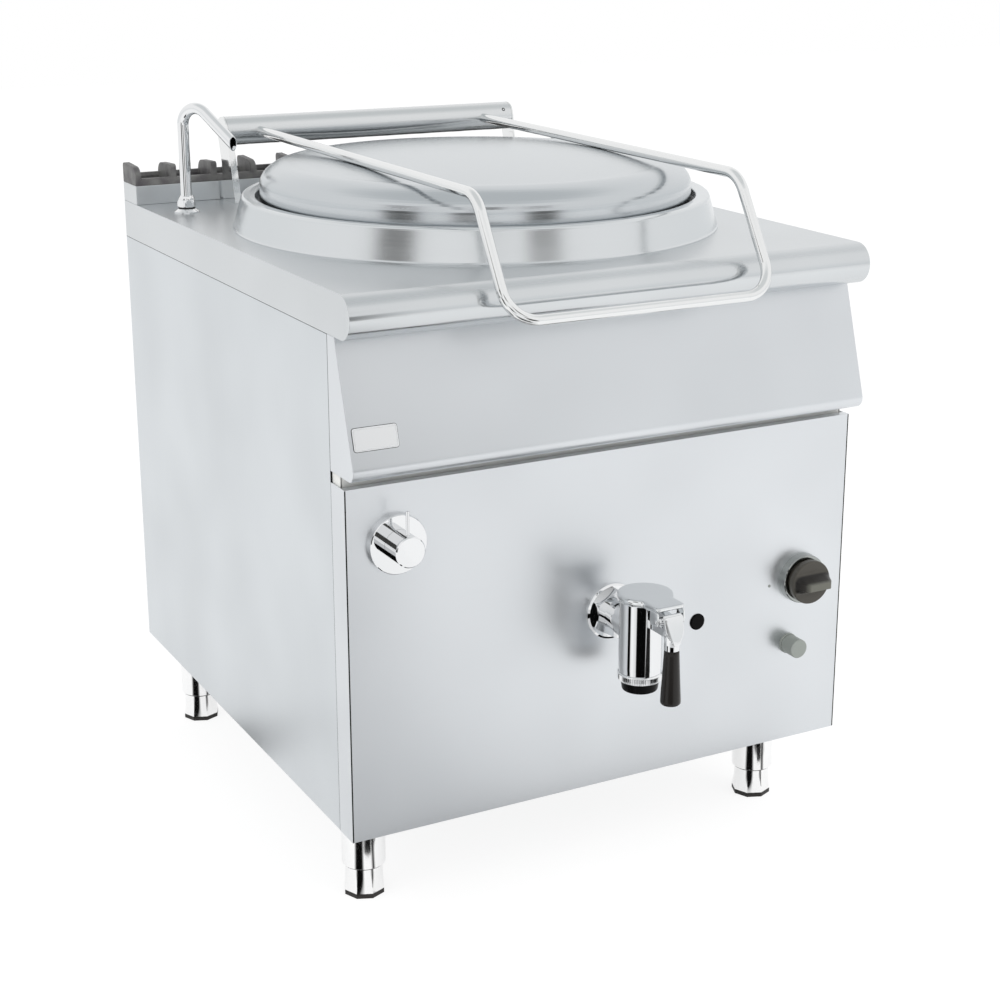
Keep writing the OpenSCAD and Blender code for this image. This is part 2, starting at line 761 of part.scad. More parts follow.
module leg_sleeves() color("silver") for (p = leg_places()) translate([p.x, p.y, sleeve_low]) difference() {
    union() {
        cylinder(r = sleeve_r, h = leg_h - sleeve_low);
        translate([0, 0, leg_h - sleeve_low - 4]) cylinder(r = sleeve_r + 2, h = 4);
    }
    translate([0, 0, -e]) cylinder(r = neck_r + gap, h = leg_h - sleeve_low - 8 + e);
}

// A foot: round neck that runs up into the sleeve, flared eight-sided base and a plastic pad
module levelling_foot(i) translate(leg_places()[i]) {
    color("silver") {
        difference() {
            translate([0, 0, flare_h]) cylinder(r = neck_r, h = leg_h - flare_h - 40);
            translate([0, 0, flare_h + 20]) cylinder(r = neck_r - 6, h = leg_h);
        }
        hull() {
            translate([0, 0, flare_h - 0.5]) cylinder(r = neck_r, h = 0.5, $fn = 32);
            translate([0, 0, pad_h]) cylinder(r = foot_r, h = 4, $fn = 8);
        }
    }
    color("black") cylinder(r = foot_r - 0.5, h = pad_h, $fn = 8);
}

module levelling_foot_front_left() levelling_foot(0);

module levelling_foot_front_right() levelling_foot(1);

module levelling_foot_rear_left() levelling_foot(2);

module levelling_foot_rear_right() levelling_foot(3);

// Drain tap

module drain_pipe() color("silver") difference() {
    y = pan_y - pan_r + pan_edge_r - 2;
    translate([0, y, drain_z]) towards_front(drain_outer_r, y - door_y + tap_flange_t);
    translate([0, y + e, drain_z]) towards_front(drain_r, y - door_y + tap_flange_t + 2 * e);
    rotate_pan() vessel_outline(pan_r + pan_wall, vessel_low - pan_wall, pan_edge_r + pan_wall);
}

module tap_flange() color("silver") difference() {
    translate([0, door_y, drain_z]) {
        towards_front(tap_flange_r, tap_flange_t - 1.5);
        translate([0, 1.5 - tap_flange_t, 0]) towards_front(tap_flange_r, 1.5, tap_flange_r - 3);
    }
    translate([0, door_y + e, drain_z]) towards_front(drain_outer_r + gap, tap_flange_t + 2 * e);
}

module tap_nut() color("silver") difference() {
    y = door_y - tap_flange_t;
    translate([0, y, drain_z]) rotate([90, 0, 0]) intersection() {
        rotate(90) cylinder(r = tap_nut_r, h = tap_nut_t, $fn = 6);
        translate([0, 0, -tap_nut_r])
            cylinder(r1 = 3 * tap_nut_r, r2 = tap_nut_r - 3, h = tap_nut_r + tap_nut_t);
    }
    translate([0, y + e, drain_z]) towards_front(drain_outer_r, tap_nut_t + 2 * e);
}

module tap_body() color("silver") difference() {
    neck_l = tap_out - tap_flange_t;
    cam_seat = pivot_z - 12;
    union() {
        translate([0, tap_y, tap_low]) cylinder(r = tap_r, h = tap_top - tap_low - 2);
        translate([0, tap_y, tap_top - 2]) cylinder(r1 = tap_r, r2 = tap_r - 2, h = 2);
        // tail in the nut and the conical neck
        translate([0, door_y - tap_flange_t, drain_z]) towards_front(drain_outer_r, neck_l);
        translate([0, door_y - tap_flange_t - tap_nut_t, drain_z])
            towards_front(drain_outer_r + 1, neck_l - tap_nut_t - 8, drain_outer_r + 6);
        // lug that the lever's cam presses on
        translate([-8, pivot_y + 2, cam_seat - 11]) cube([16, pivot_out - 14, 11]);
    }
    translate([0, tap_y, tap_low - e]) cylinder(r = tap_bore_r, h = tap_top - tap_low - 6);
    translate([0, tap_y, tap_low]) cylinder(r = 5 + running, h = 2 * tap_top);
    translate([0, door_y, drain_z]) towards_front(drain_r, tap_out);
}

module tap_knurled_ring() color("silver") translate([0, tap_y, tap_low - collet_h - ring_h]) difference() {
    union() {
        cylinder(r = tap_r + 0.8, h = ring_h);
        translate([0, 0, ring_h]) cylinder(r = tap_r - 0.5, h = collet_h);
    }
    translate([0, 0, -e]) cylinder(r = tap_bore_r + 2, h = ring_h + collet_h + 2 * e);
}

module tap_outlet() color("black") translate([0, tap_y, 0]) rotate_extrude() {
    shoulder = tap_low - collet_h - ring_h;
    polygon(concat(
        [[outlet_r, outlet_low + 2], [outlet_r + 4, outlet_low]],
        arc([tap_r - 7.5, outlet_low + 2.5], 2.5, -90, 0, 4),
        [[tap_r - 3, shoulder], [tap_bore_r + 2, shoulder], [tap_bore_r + 2, tap_low],
         [tap_bore_r, tap_low], [tap_bore_r, tap_low + 7], [outlet_r, tap_low + 7]]
    ));
}

module tap_cap_plan() {
    translate([0, tap_y - cap_off]) circle(cap_r);
    polygon([
        [-cap_r + 4, tap_y - cap_off - 14], [cap_r - 4, tap_y - cap_off - 14],
        [tongue_half, pivot_y + 14], [tongue_half, pivot_y - ear_rim],
        [-tongue_half, pivot_y - ear_rim], [-tongue_half, pivot_y + 14]
    ]);
}

// The cap rises with the plunger; its ears carry the lever's pin
module tap_cap() color("silver") difference() {
    union() {
        translate([0, 0, cap_z + 3]) linear_extrude(cap_t - 3) tap_cap_plan();
        translate([0, tap_y - cap_off, cap_z]) cylinder(r1 = cap_r - 3, r2 = cap_r, h = 3);
        for (s = [-1, 1])
            translate([s > 0 ? tongue_half - 3 : -tongue_half, pivot_y - ear_rim, pivot_z - 7])
                cube([3, 14 + ear_rim, cap_z + 4 - pivot_z + 7]);
    }
    translate([0, tap_y, cap_z - e]) cylinder(r = 5, h = cap_t - 3 + e);
    translate([-tongue_half - e, pivot_y, pivot_z]) rotate([0, 90, 0])
        cylinder(r = pin_r, h = 2 * tongue_half + 2 * e);
}

module tap_plunger() color("darkgray") translate([0, tap_y, 0]) {
    seat = tap_low + 7;
    translate([0, 0, seat]) cylinder(r = tap_bore_r - gap, h = 6);
    translate([0, 0, seat + 6]) cylinder(r1 = tap_bore_r - 3, r2 = 5, h = 6);
    cylinder_from(seat + 6, cap_z + cap_t - 3, 5);
}

module cylinder_from(low, high, r) {
    translate([0, 0, low]) cylinder(r = r, h = high - low);
}

module tap_lever_pin() color("silver") translate([-tongue_half - 1.5, pivot_y, pivot_z]) rotate([0, 90, 0])
    cylinder(r = pin_r, h = 2 * tongue_half + 3);

// The cam is an involute: as the lever turns, its reach down to the lug grows evenly
function cam_reach(a) = 12 - gap + tap_lift * a / 90;
function cam_point(a) =
    let (grow = tap_lift / 90 * 180 / PI, down = [-sin(a), -cos(a)], side = [-cos(a), sin(a)])
    cam_reach(a) * [-down.x, down.y] + grow * [-side.x, side.y];

module tap_lever() color("silver") {
    front = pivot_y - plate_off;
    difference() {
        union() {
            translate([-tongue_half + 3 + gap, pivot_y, pivot_z]) rotate([0, 90, 0])
                cylinder(r = 6, h = 2 * tongue_half - 6 - 2 * gap);
            translate([0, pivot_y, pivot_z]) along_x(12)
                polygon(concat([[0, 0], [0, -6]], [for (a = [0:6:90]) cam_point(a)], [[0, 6]]));
            // plate that hangs in front of the body and narrows to the grip
            translate([0, front + 1.5, 0]) rotate([90, 0, 0]) linear_extrude(3) polygon([
                [-14, pivot_z + 8], [14, pivot_z + 8], [14, pivot_z - 12], [9.3, pivot_z - plate_l + 6],
                [6, pivot_z - plate_l], [-6, pivot_z - plate_l], [-9.3, pivot_z - plate_l + 6],
                [-14, pivot_z - 12]
            ]);
            translate([-14, front - 1.5, pivot_z - 4]) cube([28, plate_off, 5]);
            translate([0, front, pivot_z - plate_l - 20]) cylinder(r = 5, h = 22);
        }
        translate([-tongue_half, pivot_y, pivot_z]) rotate([0, 90, 0])
            cylinder(r = pin_r + running, h = 2 * tongue_half);
    }
}

module tap_grip() color("black") translate([0, pivot_y - plate_off, pivot_z - plate_l]) difference() {
    union() {
        translate([0, 0, 2 - grip_l]) cylinder(r1 = grip_low_r, r2 = grip_top_r, h = grip_l - 2);
        translate([0, 0, -grip_l]) cylinder(r1 = grip_low_r - 2, r2 = grip_low_r, h = 2);
    }
    translate([0, 0, -20]) cylinder(r = 5, h = 20 + e);
}

// Water side

module water_rosette() color("silver") difference() {
    translate([-water_at_x, door_y, water_h]) {
        towards_front(water_disc_r, water_disc_t - 1);
        translate([0, 1 - water_disc_t, 0]) towards_front(water_disc_r, 1, water_disc_r - 1);
    }
    translate([-water_at_x, door_y + e, water_h]) towards_front(8 + running, water_disc_t + 2 * e);
}

module water_valve() color("goldenrod") difference() {
    translate([-water_at_x, door_y + sheet, water_h]) {
        translate([-33, 0, -30]) cube([66, 58, 60]);
        towards_front(15, sheet);
    }
    translate([-water_at_x, door_y + 30, water_h]) towards_front(8 + running, 40);
}

module water_handle() color("silver") translate([-water_at_x, door_y - water_disc_t - gap, water_h]) {
    difference() {
        union() {
            towards_front(water_handle_r, water_handle_l - 1.5);
            translate([0, 1.5 - water_handle_l, 0]) towards_front(water_handle_r, 1.5, water_handle_r - 1.5);
        }
        translate([0, 9 - water_handle_l, 0]) cylinder(r = 2.4, h = water_handle_r + e);
    }
    translate([0, water_disc_t + 27, 0]) towards_front(8, water_disc_t + 27);
}

module water_handle_pin() color("silver")
    translate([-water_at_x, door_y - water_disc_t - gap + 9 - water_handle_l, water_h])
        cylinder_from(0, water_handle_r + water_pin_l, 2.4);

module water_inlet_pipes() color("peru") {
    cold_z = tray_z + 35;
    hot_z = tray_z + 60;
    bent_tube([
        cold_foot, [cold_foot.x, feet_y, cold_z], [-side_x, feet_y, cold_z],
        [-side_x, door_y + 25, cold_z], [-side_x, door_y + 25, water_h - 30]
    ], pipe_r - 2, 1.5, 16);
    bent_tube([
        hot_foot, [hot_foot.x, feet_y, hot_z], [-side_x, feet_y, hot_z],
        [-side_x, door_y + 51, hot_z], [-side_x + 42, door_y + 51, hot_z],
        [-side_x + 42, door_y + 51, water_h - 30]
    ], pipe_r - 2, 1.5, 16);
}

module spout_feed_pipe() color("peru") bent_tube([
    [-side_x, door_y + 51, water_h + 30],
    [-side_x, door_y + 51, worktop_h - 50],
    [-side_x, spout_y, worktop_h - 50],
    [-side_x, spout_y, worktop_h - 24]
], pipe_r - 1, 1.5, 16);

module spout_flange() color("silver") translate([-spout_at_x, spout_y, 0]) difference() {
    union() {
        translate([0, 0, worktop_h]) cylinder(r = spout_flange_r, h = 2);
        translate([0, 0, worktop_h + 2]) cylinder(r1 = spout_flange_r, r2 = 14, h = 4);
        cylinder_from(worktop_h - 24, worktop_h + 10, 9.9);
    }
    cylinder_from(worktop_h - 30, worktop_h + 20, spout_r - spout_wall);
}

module spout_nut() color("silver") translate([-spout_at_x, spout_y, 0]) difference() {
    union() {
        intersection() {
            translate([0, 0, worktop_h + 6]) cylinder(r = 15, h = 14, $fn = 6);
            translate([0, 0, worktop_h + 6]) cylinder(r1 = 22, r2 = 13.2, h = 14);
        }
        translate([0, 0, worktop_h + 20]) cylinder(r1 = 13, r2 = 10, h = 6);
    }
    cylinder_from(worktop_h, worktop_h + 10, 9.9 + gap / 3);
    cylinder_from(worktop_h, worktop_h + 40, spout_r + running);
}

// The swivel pipe, drawn in the plane that it bends in and cut off upright at its mouth
module spout_pipe() color("silver") {
    foot = [0, 0, worktop_h + 10 + gap];
    top = [0, 0, worktop_h + spout_straight + spout_bend * tan(spout_turn / 2)];
    fall = [sin(spout_turn), 0, cos(spout_turn)];
    mouth = top + (spout_bend * tan(spout_turn / 2) + spout_reach) * fall;
    translate([-spout_at_x, spout_y, 0]) rotate(spout_aim) difference() {
        bent_tube([foot, top, mouth + 12 * fall], spout_r, spout_wall, spout_bend);
        translate([mouth.x, -20, mouth.z - 60]) cube([60, 40, 90]);
    }
}

// Lid and hinge

function lid_curve(inset) =
    let (r = lid_r - inset, z = worktop_h + skirt_high, flat = r - shoulder_w, high = z + shoulder_h - inset)
    concat(
        [[r, worktop_h + skirt_low]],
        [for (a = [0:6:90]) [flat + shoulder_w * cos(a), z + (shoulder_h - inset) * sin(a)]],
        [for (i = [1:14]) let (x = flat * (1 - i / 14)) [x, high + dome_h * (1 - pow(x / flat, 2))]]
    );

module lid_shell() color("whitesmoke") rotate_pan()
    polygon(concat(lid_curve(0), reversed(lid_curve(lid_wall))));

module lid_gasket() color("black") rotate_pan()
    translate([lid_r - lid_wall - 2.5, worktop_h + skirt_low - seal_h]) square([6, seal_h]);

module lid_handle() color("whitesmoke") {
    bend_z = beam_z - arm_drop;
    front = nose_y + arm_front;
    bar = [arm_x, nose_y - bar_out, worktop_h - bar_low];
    difference() {
        bent_tube([
            [-arm_x, beam_y - beam_r / 2, beam_z], [-arm_x, front, bend_z], [-bar.x, bar.y, bar.z],
            bar, [arm_x, front, bend_z], [arm_x, beam_y - beam_r / 2, beam_z]
        ], handle_r, handle_wall, handle_bend);
        translate([0, beam_y, beam_z]) rotate([0, 90, 0]) cylinder(r = beam_r, h = body_w, center = true);
    }
}

module hinge_beam() color("whitesmoke") translate([0, beam_y, beam_z]) rotate([0, 90, 0]) difference() {
    cylinder(r = beam_r, h = 2 * beam_half, center = true);
    cylinder(r = beam_r - beam_wall, h = 2 * beam_half + e, center = true);
}

module hinge_bushes() color("dimgray") for (s = [-1, 1])
    translate([s * (beam_half - 9), beam_y, beam_z]) rotate([0, 90, 0]) difference() {
        cylinder(r = beam_r - beam_wall, h = 18, center = true);
        cylinder(r = shaft_r + running, h = 20, center = true);
    }

// Fixed shaft, with a collar at the inner end of each spring
module hinge_shaft() color("silver") translate([0, beam_y, beam_z]) rotate([0, 90, 0]) {
    cylinder(r = shaft_r, h = 2 * (beam_half + gap + post_t), center = true);
    for (s = [-1, 1]) translate([0, 0, s * (spring_x - spring_wire - gap / 2 - 4)])
        cylinder(r = shaft_r + 6, h = 8, center = true);
}

// Each balance spring is a wire swept along a helix round the shaft
module coil(r, wire, pitch, turns) {
    steps = 14;
    sides = 6;
    rings = steps * turns;
    points = [
        for (i = [0:rings], k = [0:sides - 1])
            let (a = 360 * i / steps, b = 360 * k / sides, out = r + wire * cos(b))
            [pitch * i / steps + wire * sin(b), out * cos(a), out * sin(a)]
    ];
    walls = [
        for (i = [0:rings - 1], k = [0:sides - 1])
            let (p = i * sides, n = (k + 1) % sides)
            [p + k, p + n, p + sides + n, p + sides + k]
    ];
    polyhedron(points, concat(
        walls,
        [[for (k = [sides - 1:-1:0]) k]],
        [[for (k = [0:sides - 1]) rings * sides + k]]
    ));
}

spring_pitch = 5;
spring_x = beam_half - 18 - spring_wire - gap / 2 - spring_pitch * spring_turns;

module hinge_springs() color("dimgray") for (s = [-1, 1])
    translate([s > 0 ? spring_x : -spring_x - spring_pitch * spring_turns, beam_y, beam_z])
        coil(shaft_r + gap + spring_wire, spring_wire, spring_pitch, spring_turns);

// A post: cheek with a round head over the beam's end, front flange and a foot
module hinge_post(s) {
    x = beam_half + gap;
    base_y = beam_y - 21;
    module cheek() {
        translate([beam_y, beam_z]) circle(beam_r);
        polygon([
            [beam_y + beam_r, beam_z], [base_y + 28, worktop_h + 60], [base_y + 28, worktop_h],
            [base_y - 28, worktop_h], [beam_y - beam_r - 3, beam_z - 22], [beam_y - beam_r, beam_z]
        ]);
    }
    color("whitesmoke") difference() {
        union() {
            translate([s * (x + post_t / 2), 0, 0]) along_x(post_t) cheek();
            // folded front edge, turned inwards
            translate([s * (x + post_t - 5.5), 0, 0]) along_x(11) polygon([
                [base_y - 28, worktop_h], [beam_y - beam_r - 3, beam_z - 26],
                [beam_y - beam_r - 3 + post_t, beam_z - 26], [base_y - 28 + post_t, worktop_h]
            ]);
            translate([s > 0 ? x - 30 : -x - post_t, base_y - 28, worktop_h]) cube([30 + post_t, 56, post_t]);
        }
        translate([s * x, beam_y, beam_z]) rotate([0, 90, 0]) cylinder(r = shaft_r, h = 20, center = true);
        for (dy = [-16, 16])
            translate([s * (x - 18), base_y + dy, worktop_h - e]) cylinder(r = 3.3, h = post_t + 2 * e);
    }
}

module hinge_posts() {
    hinge_post(-1);
    hinge_post(1);
}

// Knob, button and plug on the front panel

module knob_bezel() color("silver") difference() {
    translate([knob_at_x, door_y, knob_h]) {
        towards_front(bezel_r, 3);
        translate([0, -3, 0]) towards_front(bezel_r, 9, bezel_r - 3.5);
    }
    translate([knob_at_x, door_y - 4, knob_h]) towards_front(bezel_r - 6, 20);
    translate([knob_at_x, door_y + e, knob_h]) towards_front(5 + running, 20);
}

module gas_knob() color("dimgray") translate([knob_at_x, door_y, knob_h]) {
    back = knob_push + 4 + gap;
    // disc that fits in the bezel, with a rounded edge
    translate([0, -back, 0]) towards_front(bezel_r - 6 - gap, knob_out - back - 8);
    translate([0, 8 - knob_out, 0]) towards_front(bezel_r - 6 - gap, 3, knob_r);
    translate([0, 5 - knob_out, 0]) towards_front(knob_r, 3.5);
    translate([0, 1.5 - knob_out, 0]) towards_front(knob_r, 1.5, knob_r - 1.5);
    // grip bar: long at its root, shorter at its front
    translate([0, 0, -knob_bar_w / 2]) linear_extrude(knob_bar_w) polygon(concat(
        [[-knob_r + 3, 1 - knob_out]],
        arc([-20, -knob_out - knob_bar_h + 8], 8, 180, 270, 6),
        arc([24, -knob_out - knob_bar_h + 7], 7, 270, 360, 6),
        [[knob_r - 3, 1 - knob_out]]
    ));
    // spindle into the valve
    translate([0, 15, 0]) towards_front(5, 15 + back);
}

module gas_valve_plunger() color("silver") translate([knob_at_x, door_y + 15 + gap, knob_h]) {
    rotate([-90, 0, 0]) cylinder(r = 5, h = 9);
    rotate([-90, 0, 0]) cylinder(r = 3, h = 27);
}

module igniter_button() color("darkgray") translate([button_at_x, door_y - button_travel - 0.5, button_h])
    difference() {
        union() {
            towards_front(button_r, button_l - 1);
            translate([0, 1 - button_l, 0]) towards_front(button_r, 1, button_r - 1);
        }
        translate([0, e, 0]) towards_front(button_r - 3, button_l - 5 + e);
    }

module panel_plug() color("black") translate([plug_x, door_y, plug_h]) {
    towards_front(plug_r, 1);
    translate([0, -1, 0]) towards_front(plug_r, 1.5, plug_r - 2);
    translate([0, sheet + 6, 0]) towards_front(plug_r - 3, sheet + 6);
}

chassis_frame();
bottom_tray();
left_side_panel();
right_side_panel();
rear_panel();
front_panel();
control_fascia();
worktop();
flue_box();
flue_grille();
flue_duct();
pan_vessel();
pan_collar();
chamber_shell();
insulation_jacket();
main_burner();
pilot_burner();
ignition_lead();
igniter_body();
gas_valve();
gas_supply_pipe();
burner_feed_pipe();
drain_pipe();
leg_sleeves();
tap_flange();
tap_nut();
tap_body();
tap_knurled_ring();
tap_outlet();
water_rosette();
water_valve();
water_inlet_pipes();
spout_feed_pipe();
spout_flange();
spout_nut();
hinge_posts();
hinge_shaft();
hinge_springs();
knob_bezel();
panel_plug();
lid_shell();
lid_gasket();
lid_handle();
hinge_beam();
hinge_bushes();
spout_pipe();
water_handle();
water_handle_pin();
tap_cap();
tap_plunger();
tap_lever_pin();
tap_lever();
tap_grip();
gas_knob();
gas_valve_plunger();
igniter_button();
levelling_foot_front_left();
levelling_foot_front_right();
levelling_foot_rear_left();
levelling_foot_rear_right();
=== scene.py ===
"""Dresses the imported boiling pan: steel finishes, rounded sheet edges and the small visible parts."""

import json
import logging
import math
from collections.abc import Sequence
from dataclasses import dataclass, field
from enum import Enum

import bmesh
import bpy
import numpy as np
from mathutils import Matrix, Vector


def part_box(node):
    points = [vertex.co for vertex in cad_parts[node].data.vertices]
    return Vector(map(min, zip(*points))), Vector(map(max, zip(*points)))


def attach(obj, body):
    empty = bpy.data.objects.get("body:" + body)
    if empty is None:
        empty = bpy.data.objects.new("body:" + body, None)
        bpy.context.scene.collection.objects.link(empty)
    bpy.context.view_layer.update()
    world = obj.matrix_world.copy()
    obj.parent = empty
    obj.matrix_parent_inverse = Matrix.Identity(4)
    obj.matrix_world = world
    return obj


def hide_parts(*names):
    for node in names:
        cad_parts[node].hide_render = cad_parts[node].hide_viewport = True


MM = 0.001
LOG = logging.getLogger("boiling_pan")

Tree = bpy.types.NodeTree
Node = bpy.types.Node
Socket = bpy.types.NodeSocket
Point = tuple[float, float, float]
Pair = tuple[float, float]
Rows = tuple[Pair, ...]

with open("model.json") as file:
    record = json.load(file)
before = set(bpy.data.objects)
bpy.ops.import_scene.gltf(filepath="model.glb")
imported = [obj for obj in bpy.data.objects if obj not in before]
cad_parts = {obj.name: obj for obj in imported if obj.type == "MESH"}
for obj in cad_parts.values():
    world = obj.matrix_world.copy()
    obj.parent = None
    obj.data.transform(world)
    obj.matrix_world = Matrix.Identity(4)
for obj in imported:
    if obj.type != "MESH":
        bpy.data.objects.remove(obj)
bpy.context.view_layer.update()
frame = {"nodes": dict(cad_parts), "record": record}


# Materials


class Grain(Enum):
    """Which way a sheet was ground: how far its pattern is stretched along each axis."""

    ALONG_X = (0.012, 1.0, 1.0)
    ALONG_Z = (1.0, 1.0, 0.012)


def linear(hex_colour: str) -> tuple[float, float, float, float]:
    """Turn an sRGB hex colour into linear light.

    Args:
        hex_colour: Six hex digits after a hash.

    Returns:
        Red, green, blue and an alpha of one.
    """
    parts = [int(hex_colour[i : i + 2], 16) / 255 for i in (1, 3, 5)]
    light = [c / 12.92 if c <= 0.04045 else ((c + 0.055) / 1.055) ** 2.4 for c in parts]
    return (*light, 1.0)


def cleared(owner: bpy.types.ID) -> Tree:
    """Switch on the nodes of a material or a world, and empty its tree."""
    owner.use_nodes = True
    owner.node_tree.nodes.clear()
    return owner.node_tree


def add(
    tree: Tree,
    kind: str,
    inputs: dict | None = None,
    into: Socket | None = None,
    stops: Sequence[tuple[float, str]] = (),
    **settings: object,
) -> Node:
    """Add a node with its settings and links.

    Args:
        tree: The tree that gets the node.
        kind: The node's type, without its ShaderNode prefix.
        inputs: Input name or index, to its value or to the output socket, or node, that feeds it.
        into: The socket that the node's first output feeds.
        stops: Places and hex colours along a colour ramp, the ends first and last.
        **settings: Settings of the node, or values of inputs by name with underscores for spaces.

    Returns:
        The new node.
    """
    made = tree.nodes.new("ShaderNode" + kind)
    for key, value in settings.items():
        if hasattr(made, key):
            setattr(made, key, value)
        else:
            made.inputs[key.replace("_", " ")].default_value = value
    for key, source in (inputs or {}).items():
        if isinstance(source, (Node, Socket)):
            tree.links.new(source.outputs[0] if isinstance(source, Node) else source, made.inputs[key])
        else:
            made.inputs[key].default_value = source
    if into:
        tree.links.new(made.outputs[0], into)
    if stops:
        ramp = made.color_ramp.elements
        for end, (where, colour) in zip(ramp, (stops[0], stops[-1])):
            end.position, end.color = where, linear(colour)
        for where, colour in stops[1:-1]:
            ramp.new(where).color = linear(colour)
    return made


@dataclass(frozen=True)
class Finish:
    """A surface finish: what it is made of and how it was worked."""

    name: str
    colour: str
    roughness: float
    metallic: float = 0.0
    specular: float = 0.5

    def build(self) -> bpy.types.Material:
        """Make the material with its shader and its pattern."""
        material = bpy.data.materials.new(self.name)
        tree = cleared(material)
        shader = add(
            tree,
            "BsdfPrincipled",
            Base_Color=linear(self.colour),
            Roughness=self.roughness,
            Metallic=self.metallic,
            Specular_IOR_Level=self.specular,
        )
        add(tree, "OutputMaterial", {"Surface": shader})
        self.pattern(tree, shader, add(tree, "TexCoord").outputs["Object"])
        material.diffuse_color = linear(self.colour)
        return material

    def pattern(self, tree: Tree, shader: Node, place: Socket) -> None:
        """Add the finish's own detail. A plain finish has none.

        Args:
            tree: The material's tree.
            shader: Its shader.
            place: Object coordinates, in metres.
        """


@dataclass(frozen=True)
class BrushedSteel(Finish):
    """Stainless sheet ground with a belt: fine parallel lines that blur reflections across them.

    The real lines are 0.1 mm apart. They are drawn some 1.5 mm apart, so that they show at all. A sheet
    with a nose_y has a rolled edge that is buffed smoother, from there over nose_run metres to the front.
    """

    metallic: float = 1.0
    grain: Grain = Grain.ALONG_X
    spacing_mm: float = 1.5
    groove_mm: float = 0.004
    rough_step: float = 0.04
    shade: str = "#CDD1D4"
    nose_y: float | None = None
    nose_run: float = 0.01
    nose_share: float = 0.4

    def pattern(self, tree: Tree, shader: Node, place: Socket) -> None:
        """Lines along the grain, and a broad cloud of slightly darker steel, about 200 mm wide."""
        stretch = [share / (self.spacing_mm * MM) for share in self.grain.value]
        turned = add(tree, "Mapping", {"Vector": place}, Scale=stretch)
        lines = add(tree, "TexNoise", {"Vector": turned}, Scale=1.0, Detail=3.0)
        low, high = self.roughness - self.rough_step, self.roughness + self.rough_step
        rough = add(tree, "MapRange", {"Value": lines}, shader.inputs["Roughness"], To_Min=low, To_Max=high)
        if self.nose_y is not None:
            self.polish_nose(tree, shader, place, rough)
        cloud = add(tree, "TexNoise", {"Vector": place}, Scale=5.0, Detail=1.0)
        stops = [(0.3, self.shade), (0.7, self.colour)]
        add(tree, "ValToRGB", {"Fac": cloud}, shader.inputs["Base Color"], stops)
        depth = self.groove_mm * MM
        add(tree, "Bump", {"Height": lines}, shader.inputs["Normal"], Distance=depth, Strength=0.1)

    def polish_nose(self, tree: Tree, shader: Node, place: Socket, rough: Node) -> None:
        """Multiply the roughness by a share that falls from one at nose_y to nose_share in front of it."""
        apart = add(tree, "SeparateXYZ", {"Vector": place})
        share = add(
            tree,
            "MapRange",
            {"Value": apart.outputs["Y"]},
            From_Min=self.nose_y - self.nose_run,
            From_Max=self.nose_y,
            To_Min=self.nose_share,
        )
        add(tree, "Math", {0: rough, 1: share}, shader.inputs["Roughness"], operation="MULTIPLY")


@dataclass(frozen=True)
class SpunSteel(Finish):
    """A pressing that was polished as it turned: rings round its axis, which smear the reflections."""

    metallic: float = 1.0
    centre: Pair = (0.0, 0.0)
    spacing_mm: float = 1.2
    groove_mm: float = 0.004

    def pattern(self, tree: Tree, shader: Node, place: Socket) -> None:
        """Noise over the distance from the axis and the height, so it is the same all the way round."""
        from_axis = add(tree, "VectorMath", {0: place, 1: (*self.centre, 0.0)}, operation="SUBTRACT")
        flat = add(tree, "VectorMath", {0: from_axis, 1: (1.0, 1.0, 0.0)}, operation="MULTIPLY")
        radius = add(tree, "VectorMath", {0: flat}, operation="LENGTH")
        apart = add(tree, "SeparateXYZ", {"Vector": place})
        ring = add(tree, "CombineXYZ", {"X": radius.outputs["Value"], "Y": apart.outputs["Z"]})
        rings = add(tree, "TexNoise", {"Vector": ring}, Scale=1 / (self.spacing_mm * MM), Detail=2.0)
        low, high = self.roughness - 0.03, self.roughness + 0.05
        add(tree, "MapRange", {"Value": rings}, shader.inputs["Roughness"], To_Min=low, To_Max=high)
        depth = self.groove_mm * MM
        add(tree, "Bump", {"Height": rings}, shader.inputs["Normal"], Distance=depth, Strength=0.1)


@dataclass(frozen=True)
class PolishedMetal(Finish):
    """Polished or plated metal: mirror-like, with a faint haze of fine wiping marks."""

    metallic: float = 1.0
    haze: float = 0.03

    def pattern(self, tree: Tree, shader: Node, place: Socket) -> None:
        """Soft patches, about 25 mm wide, where the polish is a little duller."""
        patches = add(tree, "TexNoise", {"Vector": place}, Scale=40.0, Detail=4.0)
        low, high = self.roughness, self.roughness + self.haze
        add(tree, "MapRange", {"Value": patches}, shader.inputs["Roughness"], To_Min=low, To_Max=high)


@dataclass(frozen=True)
class SandCast(Finish):
    """Cast iron under a thin matt coat: pitted skin, and worn lighter patches."""

    light: str = "#5A5450"
    grit_mm: float = 1.2

    def pattern(self, tree: Tree, shader: Node, place: Socket) -> None:
        """Grit from the sand mould, 0.25 mm deep, and worn patches about 17 mm wide."""
        grit = add(tree, "TexNoise", {"Vector": place}, Scale=1 / (self.grit_mm * MM), Detail=3.0)
        worn = add(tree, "TexNoise", {"Vector": place}, Scale=60.0, Detail=3.0)
        stops = [(0.3, self.colour), (0.7, self.light)]
        add(tree, "ValToRGB", {"Fac": worn}, shader.inputs["Base Color"], stops)
        add(tree, "Bump", {"Height": grit}, shader.inputs["Normal"], Distance=0.25 * MM, Strength=0.5)


